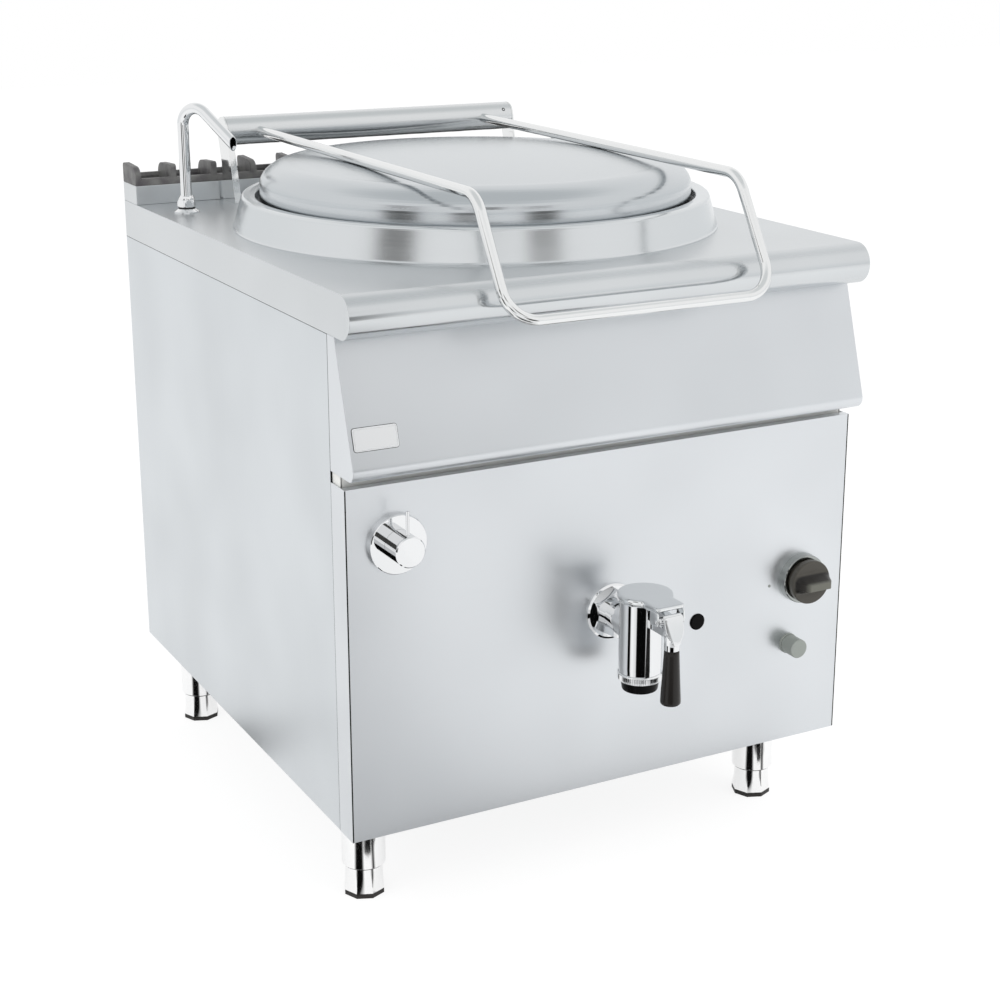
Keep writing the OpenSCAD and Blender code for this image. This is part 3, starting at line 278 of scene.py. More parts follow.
@dataclass(frozen=True)
class MouldedPlastic(Finish):
    """Moulded plastic or rubber: a very fine spark-eroded grain on one even colour."""

    grain_mm: float = 0.5
    rough_step: float = 0.06

    def pattern(self, tree: Tree, shader: Node, place: Socket) -> None:
        """A fine grain, 0.03 mm deep, that breaks up the gloss."""
        grain = add(tree, "TexNoise", {"Vector": place}, Scale=1 / (self.grain_mm * MM), Detail=2.0)
        low, high = self.roughness - self.rough_step, self.roughness + self.rough_step
        add(tree, "MapRange", {"Value": grain}, shader.inputs["Roughness"], To_Min=low, To_Max=high)
        add(tree, "Bump", {"Height": grain}, shader.inputs["Normal"], Distance=0.03 * MM, Strength=0.25)


@dataclass(frozen=True)
class ShadedPlastic(MouldedPlastic):
    """Moulded plastic with painted shade: dark in the hollows and on the slopes, paler on what stands out
    (painted highlight).
    """

    hollow_y: float = -0.38
    ridge_y: float = -0.4025
    # The hollow and slope colours are painted shade, and the ridge's colour is a painted highlight.
    hollow: str = "#14110F"
    slope: str = "#24211D"
    ridge_highlight: str = "#66665E"

    def pattern(self, tree: Tree, shader: Node, place: Socket) -> None:
        """The moulded grain, and a colour by how far it stands out: painted shade low, a painted highlight
        on top.
        """
        super().pattern(tree, shader, place)
        apart = add(tree, "SeparateXYZ", {"Vector": place})
        span = {"From_Min": self.hollow_y, "From_Max": self.ridge_y}
        raised = add(tree, "MapRange", {"Value": apart.outputs["Y"]}, **span)
        stops = [(0.0, self.colour), (0.12, self.hollow), (0.7, self.slope), (1.0, self.ridge_highlight)]
        add(tree, "ValToRGB", {"Fac": raised}, shader.inputs["Base Color"], stops)


@dataclass(frozen=True)
class FibreWool(Finish):
    """Ceramic wool blanket: matt felted fibres."""

    light: str = "#E2DCC8"

    def pattern(self, tree: Tree, shader: Node, place: Socket) -> None:
        """Tufts about 8 mm wide and 2 mm high."""
        tufts = add(tree, "TexNoise", {"Vector": place}, Scale=120.0, Detail=6.0)
        stops = [(0.3, self.colour), (0.7, self.light)]
        add(tree, "ValToRGB", {"Fac": tufts}, shader.inputs["Base Color"], stops)
        add(tree, "Bump", {"Height": tufts}, shader.inputs["Normal"], Distance=2.0 * MM, Strength=0.6)


PAN_CENTRE = tuple((a + b) / 2 for a, b in zip(*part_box("pan_collar")))[:2]

# Ground sheets: the belt's lines spread each reflection across them, so the walls look milky and pale.
FRONT_STEEL = BrushedSteel("Belt-ground stainless, front", "#DDE0E3", 0.32, shade="#D6D9DC")
SIDE_STEEL = BrushedSteel(
    "Belt-ground stainless, sides", "#D9DDE0", 0.36, grain=Grain.ALONG_Z, shade="#D1D5D8"
)
TOP_NOSE = {"shade": "#CFD2D4", "nose_y": -0.37}
TOP_GRAIN = {"spacing_mm": 1.8, "groove_mm": 0.0008, "rough_step": 0.015}
TOP_STEEL = BrushedSteel("Satin stainless, top", "#D4D7D9", 0.3, **TOP_GRAIN, **TOP_NOSE)
# Spun pressings: the rings draw each lamp and card out into a soft bar that runs down the wall.
LID_STEEL = SpunSteel("Spun stainless, lid", "#C7CBCE", 0.2, centre=PAN_CENTRE)
COLLAR_STEEL = SpunSteel("Spun stainless, collar", "#D7DADC", 0.2, centre=PAN_CENTRE)
# Polished, plated and drawn metal: clear reflections with dark bands, duller down the list.
CHROME = PolishedMetal("Chrome plate", "#E8E9EA", 0.025, haze=0.02)
SATIN_CHROME = PolishedMetal("Satin chrome plate", "#E4E6E7", 0.07, haze=0.03)
BRIGHT_STEEL = PolishedMetal("Polished stainless", "#E8E9E9", 0.09)
# The legs' copy of polished stainless is nearly white, brighter than the rest, for bright reflections:
# painted light.
LEG_STEEL_PAINTED_BRIGHT = PolishedMetal("Polished stainless, legs, painted brighter", "#FAFAFA", 0.1)
BEZEL_STEEL = PolishedMetal("Turned stainless", "#A2A5A3", 0.12, haze=0.05)
SATIN_TUBE = PolishedMetal("Satin stainless tube", "#D8DADB", 0.2, haze=0.04)
BRASS = PolishedMetal("Machined brass", "#C9A35A", 0.28)
COPPER = PolishedMetal("Drawn copper", "#C98460", 0.3)
PLATE_STEEL = PolishedMetal("Satin aluminium plate", "#F4F5F6", 0.34, haze=0.05)
WIRE = PolishedMetal("Oiled spring wire", "#5C5E60", 0.35)
DARK_SCREW = PolishedMetal("Blackened screw", "#3A3A3C", 0.35)
ZINC = PolishedMetal("Galvanised steel", "#A9ADAF", 0.42, haze=0.16)
# Castings and wool: rough and matt, with no clear reflection.
IRON = SandCast("Cast iron, matt coat", "#4B484B", 0.5, light="#70706E")
BURNER_IRON = SandCast("Cast iron, bare", "#4A4744", 0.7)
WOOL = FibreWool("Ceramic wool", "#C9C1A8", 0.95)
# Plastics, rubber and paint: one even colour each, but the knob's, with a highlight as soft as each is
# rough.
# Painted shade in the knob's hollows and on its slopes, and a painted highlight on its ridge.
KNOB_PLASTIC = ShadedPlastic("Heat-proof plastic", "#47443E", 0.28, specular=0.35)
BUTTON_PLASTIC = MouldedPlastic("Grey nylon", "#8F948F", 0.4)
BLACK_PLASTIC = MouldedPlastic("Black phenolic", "#050505", 0.22, specular=0.08)
GRIP_PLASTIC = MouldedPlastic("Dark brown phenolic", "#14100D", 0.25, specular=0.35)
BEARING_PLASTIC = MouldedPlastic("Bearing plastic", "#2A2A2C", 0.45)
RUBBER = MouldedPlastic("Silicone rubber", "#161616", 0.6, grain_mm=0.8)
SHEATH = MouldedPlastic("Silicone sheath", "#C4541C", 0.5, grain_mm=0.8)
PAD_RUBBER = MouldedPlastic("Foot pad, polyamide", "#2A2826", 0.45, specular=0.3)
# Near-black and matt, for beads and rims that stand for the shadow in gaps: painted shadow.
PAINTED_SHADOW = MouldedPlastic("Dark bead, painted shadow", "#1C1D1E", 0.6, specular=0.1)
SLOT_PAINT = MouldedPlastic("Painted sheet, inside", "#E2E2DF", 0.6)

CORNERS = ("front_left", "front_right", "rear_left", "rear_right")
FEET = tuple("levelling_foot_" + corner for corner in CORNERS)

NODES_WITH: dict[Finish, tuple[str, ...]] = {
    FRONT_STEEL: ("front_panel", "control_fascia"),
    SIDE_STEEL: ("left_side_panel", "right_side_panel", "rear_panel"),
    TOP_STEEL: ("worktop", "flue_box"),
    LID_STEEL: ("lid_shell",),
    COLLAR_STEEL: ("pan_collar", "pan_vessel"),
    BRIGHT_STEEL: ("lid_handle", "hinge_posts"),
    LEG_STEEL_PAINTED_BRIGHT: ("leg_sleeves", *FEET),
    SATIN_TUBE: ("hinge_beam",),
    CHROME: (
        *("tap_flange", "tap_nut", "tap_body", "tap_knurled_ring", "tap_cap", "tap_lever", "tap_lever_pin"),
        *("water_rosette", "water_handle", "water_handle_pin", "spout_flange", "spout_nut", "spout_pipe"),
        "knob_bezel",
    ),
    ZINC: (
        *("chassis_frame", "bottom_tray", "flue_duct", "chamber_shell", "pilot_burner"),
        *("hinge_shaft", "gas_valve_plunger", "tap_plunger", "drain_pipe"),
    ),
    WIRE: ("hinge_springs",),
    BRASS: ("gas_valve", "water_valve"),
    COPPER: ("gas_supply_pipe", "burner_feed_pipe", "water_inlet_pipes", "spout_feed_pipe"),
    IRON: ("flue_grille",),
    BURNER_IRON: ("main_burner",),
    KNOB_PLASTIC: ("gas_knob",),
    BUTTON_PLASTIC: ("igniter_button",),
    BLACK_PLASTIC: ("tap_grip", "tap_outlet", "panel_plug", "igniter_body"),
    BEARING_PLASTIC: ("hinge_bushes",),
    RUBBER: ("lid_gasket",),
    SHEATH: ("ignition_lead",),
    WOOL: ("insulation_jacket",),
}
FINISH_OF = {node: finish for finish, nodes in NODES_WITH.items() for node in nodes}
BODY_OF = {node: body for body, nodes in frame["record"]["behaviour"]["bodies"].items() for node in nodes}


# Shapes


def ring_angles(count: int) -> np.ndarray:
    """Evenly spaced angles once round, without the last, which would be the first again."""
    return np.linspace(0, 2 * np.pi, count, endpoint=False)


def polar(radius: np.ndarray | float, angle: np.ndarray) -> np.ndarray:
    """Points of a plane: radius times the angle's cosine and sine."""
    return np.stack([radius * np.cos(angle), radius * np.sin(angle)], axis=1)


def circle(radius: float, count: int, lobes: int = 0, depth: float = 0.0) -> np.ndarray:
    """A closed ring of points in a plane: radius plus depth times the cosine of lobes times the angle.

    Args:
        radius: Mean radius.
        count: Number of points.
        lobes: Number of waves round the ring.
        depth: Height of the waves.

    Returns:
        An array of count points of two numbers.
    """
    angle = ring_angles(count)
    return polar(radius + depth * np.cos(lobes * angle), angle)


def flats(corner_r: float, sides: int, angle: np.ndarray) -> np.ndarray:
    """A polygon's radius at each angle from a corner: its flat's distance over the cosine."""
    half = math.pi / sides
    return corner_r * math.cos(half) / np.cos(angle % (2 * half) - half)


def rounded_rectangle(width: float, height: float, radius: float, steps: int = 8) -> np.ndarray:
    """A closed outline: four quarter circles, one at each corner, joined by straight sides."""
    corner = polar(radius, np.linspace(0, np.pi / 2, steps))
    middle = np.array([width / 2 - radius, height / 2 - radius])
    mirrored = corner[::-1]
    quarters = [
        corner + middle,
        mirrored * [-1, 1] + middle * [-1, 1],
        -corner - middle,
        mirrored * [1, -1] + middle * [1, -1],
    ]
    return np.concatenate(quarters)


def inset(outline: np.ndarray, amount: float) -> np.ndarray:
    """Move each point of a closed counter-clockwise outline inwards, along the mean normal of its sides."""
    side = np.roll(outline, -1, axis=0) - outline
    side /= np.linalg.norm(side, axis=1, keepdims=True)
    normal = np.stack([-side[:, 1], side[:, 0]], axis=1)
    mean = normal + np.roll(normal, 1, axis=0)
    mean /= np.linalg.norm(mean, axis=1, keepdims=True)
    return outline + amount * mean


def lifted(outline: np.ndarray, height: np.ndarray | float) -> np.ndarray:
    """A ring in space: a flat outline with its height as the third number."""
    return np.column_stack([outline, np.broadcast_to(height, len(outline))])


def pillow(outline: np.ndarray, low: float, high: float, edge: float, steps: int = 4) -> np.ndarray:
    """A plate with rounded edges, as rings: quarter circles of the edge radius carry the outline in and up.

    Args:
        outline: Closed counter-clockwise outline, in a plane.
        low: Height of the underside.
        high: Height of the top.
        edge: Radius of both edges.
        steps: Rings in each quarter circle.

    Returns:
        An array of rings, points and three numbers, the third being the height.
    """
    turn = np.linspace(0, np.pi / 2, steps)
    ins = np.concatenate([edge * (1 - np.sin(turn)), edge * (1 - np.cos(turn))])
    ups = np.concatenate([low + edge * (1 - np.cos(turn)), high - edge * (1 - np.sin(turn))])
    return np.stack([lifted(inset(outline, i), u) for i, u in zip(ins, ups)])


def hexagon_rings(corner_r: float, rows: Rows, turn: float = 0.0, count: int = 240) -> np.ndarray:
    """Rings of a nut: at each height the hexagon's radius, but no more than the turned-off limit there.

    Args:
        corner_r: Distance from the axis to a corner.
        rows: Height and limit of each ring.
        turn: Angle of the first corner.
        count: Points in each ring.

    Returns:
        An array of rings, points and three numbers, the third being the height.
    """
    angle = ring_angles(count)
    flat = flats(corner_r, 6, angle - turn)
    return np.stack([lifted(polar(np.minimum(flat, limit), angle), height) for height, limit in rows])


def turned(profile: Rows, count: int = 96) -> np.ndarray:
    """Rings of a lathe-turned shape: each profile point, radius and height, is carried round the axis."""
    unit = circle(1.0, count)
    return np.stack([lifted(unit * radius, height) for radius, height in profile])


def to_front(rings: np.ndarray, at: Point = (0.0, 0.0, 0.0)) -> np.ndarray:
    """Stand flat rings up round a point: their second number runs up, and their height to the front."""
    return np.stack([at[0] + rings[..., 0], at[1] - rings[..., 2], at[2] + rings[..., 1]], axis=-1)


def to_sides(rings: np.ndarray) -> list[np.ndarray]:
    """Two copies of flat rings, drawn as Y and Z, whose heights point to the left and to the right."""
    return [np.stack([side * rings[..., 2], rings[..., 0], rings[..., 1]], axis=-1) for side in (-1, 1)]


def show(name: str, data: bpy.types.ID) -> bpy.types.Object:
    """Make an object of a mesh, a camera or a light, and link it into the scene."""
    made = bpy.data.objects.new(name, data)
    bpy.context.scene.collection.objects.link(made)
    return made


@dataclass
class Workshop:
    """Keeps one material per finish, and makes and dresses pieces with it."""

    made: dict[Finish, bpy.types.Material] = field(default_factory=dict)
    weld_m: float = 2e-6
    flat_deg: float = 0.5
    crisp_deg: float = 28.0
    broken_deg: float = 40.0

    def material(self, finish: Finish) -> bpy.types.Material:
        """The finish's material, made when it is first asked for."""
        if finish not in self.made:
            self.made[finish] = finish.build()
        return self.made[finish]

    def dress_nodes(self) -> None:
        """Give every carried-over CAD node its finish."""
        for name, finish in FINISH_OF.items():
            node = frame["nodes"][name]
            if not node.material_slots:
                node.data.materials.append(None)
            for place in node.material_slots:
                place.material = self.material(finish)

    def place(
        self, name: str, mesh: bpy.types.Mesh, finish: Finish, near: str, replaces: tuple[str, ...] = ()
    ) -> bpy.types.Object:
        """Make an object of a finished mesh and hang it on its body.

        Args:
            name: The piece's name.
            mesh: Its mesh, in metres and in place.
            finish: Its finish.
            near: The CAD node whose body it rides on.
            replaces: CAD nodes that it stands for.

        Returns:
            The new object.
        """
        mesh.materials.clear()
        mesh.materials.append(self.material(finish))
        piece = show(name, mesh)
        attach(piece, BODY_OF[near])
        if replaces:
            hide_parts(*replaces)
        LOG.info("%s: %d faces, rides on %s", name, len(mesh.polygons), BODY_OF[near])
        return piece

    def loft(
        self,
        name: str,
        shells: list[np.ndarray],
        finish: Finish,
        near: str,
        replaces: tuple[str, ...] = (),
        looped: bool = False,
        sharp_deg: float = 38.0,
    ) -> bpy.types.Object:
        """Make a piece of closed shells: faces join each ring to the next, and flat lids close the ends.

        Args:
            name: The piece's name.
            shells: Arrays of rings, points and three numbers, in millimetres and in place.
            finish: Its finish.
            near: The CAD node whose body it rides on.
            replaces: CAD nodes that it stands for.
            looped: Whether the last ring joins the first instead of the lids.
            sharp_deg: Edges that turn by more than this stay crisp.

        Returns:
            The new object.
        """
        points, faces, start = [], [], 0
        for rings in shells:
            m, n = rings.shape[:2]
            grid = start + np.arange(m * n).reshape(m, n)
            low, high = (grid, np.roll(grid, -1, axis=0)) if looped else (grid[:-1], grid[1:])
            quads = np.stack([low, np.roll(low, -1, axis=1), np.roll(high, -1, axis=1), high], axis=-1)
            faces += quads.reshape(-1, 4).tolist()
            if not looped:
                faces += [grid[0][::-1].tolist(), grid[-1].tolist()]
            points.append(rings.reshape(-1, 3) * MM)
            start += m * n
        mesh = bpy.data.meshes.new(name)
        mesh.from_pydata(np.concatenate(points).tolist(), [], faces)
        shape = bmesh.new()
        shape.from_mesh(mesh)
        bmesh.ops.recalc_face_normals(shape, faces=shape.faces)
        shape.to_mesh(mesh)
        shape.free()
        mesh.shade_smooth()
        mesh.set_sharp_from_angle(angle=math.radians(sharp_deg))
        return self.place(name, mesh, finish, near, replaces)

    def soften(self, node: str, width_mm: float, segments: int = 2) -> None:
        """Stand in for a CAD node with a copy whose sharp edges are broken, as a folded or cast edge is.

        Args:
            node: The CAD node.
            width_mm: Width of the broken edge.
            segments: Faces across each edge.
        """
        mesh = frame["nodes"][node].data.copy()
        shape = bmesh.new()
        shape.from_mesh(mesh)
        bmesh.ops.remove_doubles(shape, verts=shape.verts, dist=self.weld_m)
        bmesh.ops.dissolve_limit(
            shape,
            angle_limit=math.radians(self.flat_deg),
            verts=shape.verts,
            edges=shape.edges,
            use_dissolve_boundaries=False,
        )
        shape.to_mesh(mesh)
        shape.free()
        mesh.shade_smooth()
        mesh.set_sharp_from_angle(angle=math.radians(self.crisp_deg))
        piece = self.place(node + "_edged", mesh, FINISH_OF[node], node, (node,))
        edges = piece.modifiers.new("broken edges", "BEVEL")
        edges.width = width_mm * MM
        edges.segments = segments
        edges.limit_method = "ANGLE"
        edges.angle_limit = math.radians(self.broken_deg)
        edges.harden_normals = True
        self.keep_inside(piece, node)

    def keep_inside(self, piece: bpy.types.Object, node: str) -> None:
        """Apply a piece's modifiers and press its points back into the box of its CAD node."""
        deps = bpy.context.evaluated_depsgraph_get()
        shown = piece.evaluated_get(deps)
        mesh = bpy.data.meshes.new_from_object(shown, preserve_all_data_layers=True, depsgraph=deps)
        piece.modifiers.clear()
        piece.data = mesh
        points = np.empty(len(mesh.vertices) * 3)
        mesh.vertices.foreach_get("co", points)
        mesh.vertices.foreach_set("co", np.clip(points.reshape(-1, 3), *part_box(node)).ravel())
        mesh.update()


# Sub-assemblies. Sizes are in millimetres, and a profile is a table of points.


@dataclass
class Sheetwork:
    """Folded sheets and castings, with the edges that their making gives them, and their joints."""

    sheets: tuple[str, ...] = (
        *("front_panel", "control_fascia", "left_side_panel", "right_side_panel", "rear_panel"),
        *("worktop", "flue_box"),
    )
    fold: float = 1.2
    cast: float = 3.0
    sleeve: float = 1.6
    side_y: float = -308.0
    rear_y: float = 519.0
    panel_low: float = 142.0
    panel_top: float = 832.0
    door_top: float = 637.0
    groove: float = 1.5
    bar_corner: Pair = (0.45, 0.9)
    bar_edge: float = 0.2
    bead_depth: Pair = (397.0, 399.85)
    seam: float = 2.0
    seam_short: float = 0.6
    seam_edge: float = 0.12
    seam_corner: Pair = (399.99, -351.03)
    slot_z: float = 639.0
    slot_high: float = 24.0
    back_wide: float = 793.0
    back_depth: Pair = (331.5, 333.0)
    wing_y: float = -320.0
    wing_wide: float = 26.0
    wing_depth: Pair = (395.0, 397.5)

    def build(self, shop: Workshop) -> None:
        """Break the edges of the sheets, the grille and the leg sleeves, and lay dark beads of painted
        shadow in the joints.
        """
        for node in self.sheets:
            shop.soften(node, self.fold)
        shop.soften("flue_grille", self.cast, 3)
        shop.soften("leg_sleeves", self.sleeve)
        self.joints(shop)
        self.slot_back(shop)

    def bar(self, centre: Pair, size: Pair, depth: Pair) -> np.ndarray:
        """A flat bar with eased edges. Its corner radius is a share of its width, up to a limit."""
        share, limit = self.bar_corner
        outline = rounded_rectangle(*size, min(share * min(size), limit)) + centre
        return pillow(outline, *depth, self.bar_edge)

    def joints(self, shop: Workshop) -> None:
        """Dark beads of painted shadow in the grooves round the side panels and in the seams up the front
        panel's corners.
        """
        tall, long = self.panel_top - self.panel_low, self.rear_y - self.side_y
        middle_y = (self.side_y + self.rear_y) / 2
        across = to_sides(self.bar((middle_y, self.panel_top), (long, self.groove), self.bead_depth))
        upright = self.bar((self.side_y, self.panel_low + tall / 2), (self.groove, tall), self.bead_depth)
        shells = [shell for pair in zip(across, to_sides(upright)) for shell in pair]
        square = rounded_rectangle(self.seam, self.seam, self.seam_edge, 3)
        ends = (self.panel_low + self.seam_short, self.door_top - self.seam_short)
        seam = np.stack([lifted(square, z) for z in ends])
        x, y = self.seam_corner[0] - self.seam / 2, self.seam_corner[1] + self.seam / 2
        shells += [seam + [side * x, y, 0.0] for side in (-1, 1)]
        shop.loft("shadow_gap_beads", shells, PAINTED_SHADOW, "left_side_panel")

    def slot_back(self, shop: Workshop) -> None:
        """The sheet that closes the air slot between the fascia and the front panel, with its two wings."""
        back = self.bar((0.0, self.slot_z), (self.back_wide, self.slot_high), self.back_depth)
        wing = self.bar((self.wing_y, self.slot_z), (self.wing_wide, self.slot_high), self.wing_depth)
        shop.loft("slot_back", [to_front(back), *to_sides(wing)], SLOT_PAINT, "control_fascia")


@dataclass
class BarePlate:
    """The small bare plate on the slanted fascia: a pressed rim round a plain field, on a painted-shadow
    backing.
    """

    centre_x: float = -363.5
    centre_z: float = 706.5
    size: Pair = (62.0, 30.0)
    corner_r: float = 3.5
    face: Rows = (
        *((0.0, -0.3), (0.0, 0.8), (0.25, 1.15), (0.6, 1.3)),
        *((1.5, 1.3), (1.8, 0.75), (2.3, 0.75), (2.7, 1.1)),
    )
    # The backing's rim shows as a dark line round the plate: painted shadow.
    shadow_outline_rim: float = 0.6
    shadow_outline: Point = (-0.3, 0.4, 0.1)
    fascia_top: Pair = (-331.0, 832.0)
    edge_centre: Pair = (-366.0, 667.0)
    edge_r: float = 15.0

    def build(self, shop: Workshop) -> None:
        """Lay the plate on the line that touches the fascia's lower round and runs to its top.

        It leaves the line to the round's centre by the angle whose sine is the radius over the distance.
        """
        top = np.array(self.fascia_top)
        away = np.array(self.edge_centre) - top
        slope = math.atan2(away[1], away[0]) - math.asin(self.edge_r / np.linalg.norm(away))
        down = np.array([math.cos(slope), math.sin(slope)])
        out = np.array([down[1], -down[0]])
        out *= -np.sign(out[0])
        middle = top + down * (self.centre_z - top[1]) / down[1]
        outline = rounded_rectangle(*self.size, self.corner_r)
        plate = np.stack([lifted(inset(outline, i), height) for i, height in self.face])
        shadow_outline = pillow(inset(outline, -self.shadow_outline_rim), *self.shadow_outline)
        parts = (("bare_plate", plate, PLATE_STEEL), ("plate_shadow_outline", shadow_outline, PAINTED_SHADOW))
        for name, rings, finish in parts:
            y = middle[0] - rings[..., 1] * down[0] + rings[..., 2] * out[0]
            z = middle[1] - rings[..., 1] * down[1] + rings[..., 2] * out[1]
            shell = np.stack([self.centre_x + rings[..., 0], y, z], axis=-1)
            shop.loft(name, [shell], finish, "control_fascia")


@dataclass
class DrainTap:
    """The drain tap's visible forms: cap with its tongue, lever shield, ferrule, grip and knurled ring."""

    axis_y: float = -428.0
    cap_off: float = 9.0
    cap_r: float = 38.0
    cap_low: float = 449.0
    cap_high: float = 459.0
    cap_edge: Rows = ((3.0, 0.0), (0.4, 3.0), (0.0, 4.0), (0.0, 7.4), (0.5, 8.9), (1.4, 9.7), (2.8, 10.0))
    tongue_half: float = 22.0
    tongue_front: float = -502.0
    corner_power: int = 16
    join_power: int = 18
    crown_shares: tuple[float, ...] = (0.75, 0.5, 0.25, 0.02)
    room_back: float = -478.0
    room_run: float = 10.0
    room_share: float = 0.36
    ear_low: float = 432.0
    ear_high: float = 453.0
    ear_back: float = -483.0
    ear_r: float = 5.0
    ear_depth: Pair = (19.0, 21.8)
    ear_edge: float = 0.8
    lever_y: float = -505.0
    shield_top: float = 447.0
    shield_side: Rows = ((11.6, 421.0), (14.4, 429.0), (14.4, 443.0))
    shield_corner: float = 13.4
    shield_depth: Pair = (-2.6, 2.2)
    shield_edge: float = 1.2
    round_z: float = 415.0
    round_r: float = 7.4
    lean: float = 0.29
    roll_at: Pair = (-503.0, 445.4)
    roll_side: Rows = ((0.1, -14.6), (2.4, -14.6), (3.5, -13.4), (3.5, 13.4), (2.4, 14.6), (0.1, 14.6))
    ferrule_side: Rows = (
        *((0.1, 398.9), (9.8, 398.9), (10.5, 399.6), (10.6, 403.0)),
        *((10.3, 418.0), (8.0, 425.0), (0.1, 426.0)),
    )
    grip_side: Rows = (
        *((0.1, 321.0), (9.5, 321.0), (12.4, 321.8), (13.8, 323.6), (13.99, 326.0), (13.9, 329.0)),
        *((12.2, 360.0), (10.6, 392.0), (10.3, 397.4), (9.6, 398.9), (0.1, 398.9)),
    )
    nut_r: float = 36.0
    nut_at: Point = (0.0, -355.0, 403.0)
    nut_side: Rows = ((0.0, 40.0), (0.6, 40.0), (13.0, 40.0), (14.0, 35.0))
    ribs: int = 72
    rib_high: float = 0.6
    ring_low_edge: Rows = ((24.0, 330.0), (29.6, 330.0), (30.3, 330.7))
    ring_ribbed: Rows = ((30.35, 331.4), (30.35, 338.6))
    ring_high_edge: Rows = (
        *((30.3, 339.2), (30.7, 339.6), (30.8, 341.0), (30.0, 341.8), (28.9, 342.0)),
        *((29.5, 342.6), (29.5, 349.0), (24.0, 349.0)),
    )

    def cap(self, shop: Workshop) -> None:
        """Blend the disc into the tongue, round the edge and fold two ears down.

        The plan's radius at each angle joins the disc's and a rounded rectangle's by their 18th powers,
        which leaves a soft hollow where the two meet. Rings carry the plan up the side and over a flat
        crown. Under the tongue the low rings lie up to 3.6 mm higher, to leave room for the turning lever.
        """
        angle = ring_angles(240)
        cos, sin = np.cos(angle), np.sin(angle)
        centre_y = self.axis_y - self.cap_off
        reach = centre_y - self.tongue_front
        with np.errstate(divide="ignore"):
            across, ahead = np.abs(cos) / self.tongue_half, np.maximum(-sin, 0) / reach
            tongue = (across**self.corner_power + ahead**self.corner_power) ** (-1 / self.corner_power)
        tongue = np.where(sin < -0.02, tongue, 0.0)
        plan_r = (self.cap_r**self.join_power + tongue**self.join_power) ** (1 / self.join_power)
        plan_r = np.minimum(plan_r, np.where(sin < -0.5, reach / np.maximum(-sin, 1e-6), 99.0))
        rings = [lifted(polar(plan_r - i, angle), self.cap_low + up) for i, up in self.cap_edge]
        rings += [rings[-1] * [share, share, 1.0] for share in self.crown_shares]
        crown = np.stack(rings) + [0.0, centre_y, 0.0]
        room = self.room_share * np.clip((self.room_back - crown[..., 1]) / self.room_run, 0.0, 1.0)
        crown[..., 2] += room * (self.cap_high - crown[..., 2])
        shells = [crown, *self.ears()]
        shop.loft("tap_cap_form", shells, SATIN_CHROME, "tap_cap", ("tap_cap",), sharp_deg=50.0)

    def ears(self) -> list[np.ndarray]:
        """The two folded ears, 2.8 mm thick, with their corners rounded."""
        long, high = self.ear_back - self.tongue_front, self.ear_high - self.ear_low
        outline = rounded_rectangle(long, high, self.ear_r)
        outline += [(self.ear_back + self.tongue_front) / 2, (self.ear_high + self.ear_low) / 2]
        return to_sides(pillow(outline, *self.ear_depth, self.ear_edge))

    def shield(self, shop: Workshop) -> None:
        """The spade-shaped front of the lever with the roll at its top, and the ferrule over the grip.

        The shield's half width falls from 14.4 mm at the shoulder to 7.4 mm and ends in a round. The whole
        plate leans outwards by 0.29 mm per mm of height, so it is flat and passes in front of the ferrule.
        """
        low = polar(self.round_r, np.linspace(np.pi, 2 * np.pi, 15)) + [0.0, self.round_z]
        right = np.array(self.shield_side)
        top = np.array([[self.shield_corner, self.shield_top], [-self.shield_corner, self.shield_top]])
        outline = np.concatenate([low, right, top, (right * [-1, 1])[::-1]])
        back, front = self.shield_depth
        rings = pillow(outline, back - self.lever_y, front - self.lever_y, self.shield_edge)
        plate = to_front(rings)
        plate[..., 1] -= self.lean * (self.shield_top - rings[..., 1])
        roll = turned(self.roll_side, 40)[..., [2, 0, 1]] + [0.0, *self.roll_at]
        ferrule = turned(self.ferrule_side, 64) + [0.0, self.lever_y, 0.0]
        shop.loft("tap_lever_shield", [plate, roll, ferrule], CHROME, "tap_lever")

    def nut(self, shop: Workshop) -> None:
        """The large nut: a hexagon with its corners up and down, turned off by a cone at its front edge."""
        shape = to_front(hexagon_rings(self.nut_r, self.nut_side, math.pi / 2), self.nut_at)
        shop.loft("tap_nut_form", [shape], CHROME, "tap_nut", ("tap_nut",), sharp_deg=20.0)

    def grip(self, shop: Workshop) -> None:
        """A long taper with a rounded foot and a narrow shoulder under the ferrule."""
        rings = turned(self.grip_side, 64) + [0.0, self.lever_y, 0.0]
        shop.loft("tap_grip_form", [rings], GRIP_PLASTIC, "tap_grip", ("tap_grip",))

    def ring(self, shop: Workshop) -> None:
        """Straight knurls: the radius waves by rib_high round the ring, but not on its plain edges."""
        rings = []
        bands = ((self.ring_low_edge, 0.0), (self.ring_ribbed, self.rib_high), (self.ring_high_edge, 0.0))
        for rows, depth in bands:
            rings += [lifted(circle(r, self.ribs * 6, self.ribs, depth), z) for r, z in rows]
        shape = np.stack(rings) + [0.0, self.axis_y, 0.0]
        node = "tap_knurled_ring"
        shop.loft("tap_ring_knurled", [shape], CHROME, node, (node,), looped=True, sharp_deg=30.0)

    def build(self, shop: Workshop) -> None:
        """Build the tap's forms from the top down."""
        self.cap(shop)
        self.shield(shop)
        self.nut(shop)
        self.grip(shop)
        self.ring(shop)


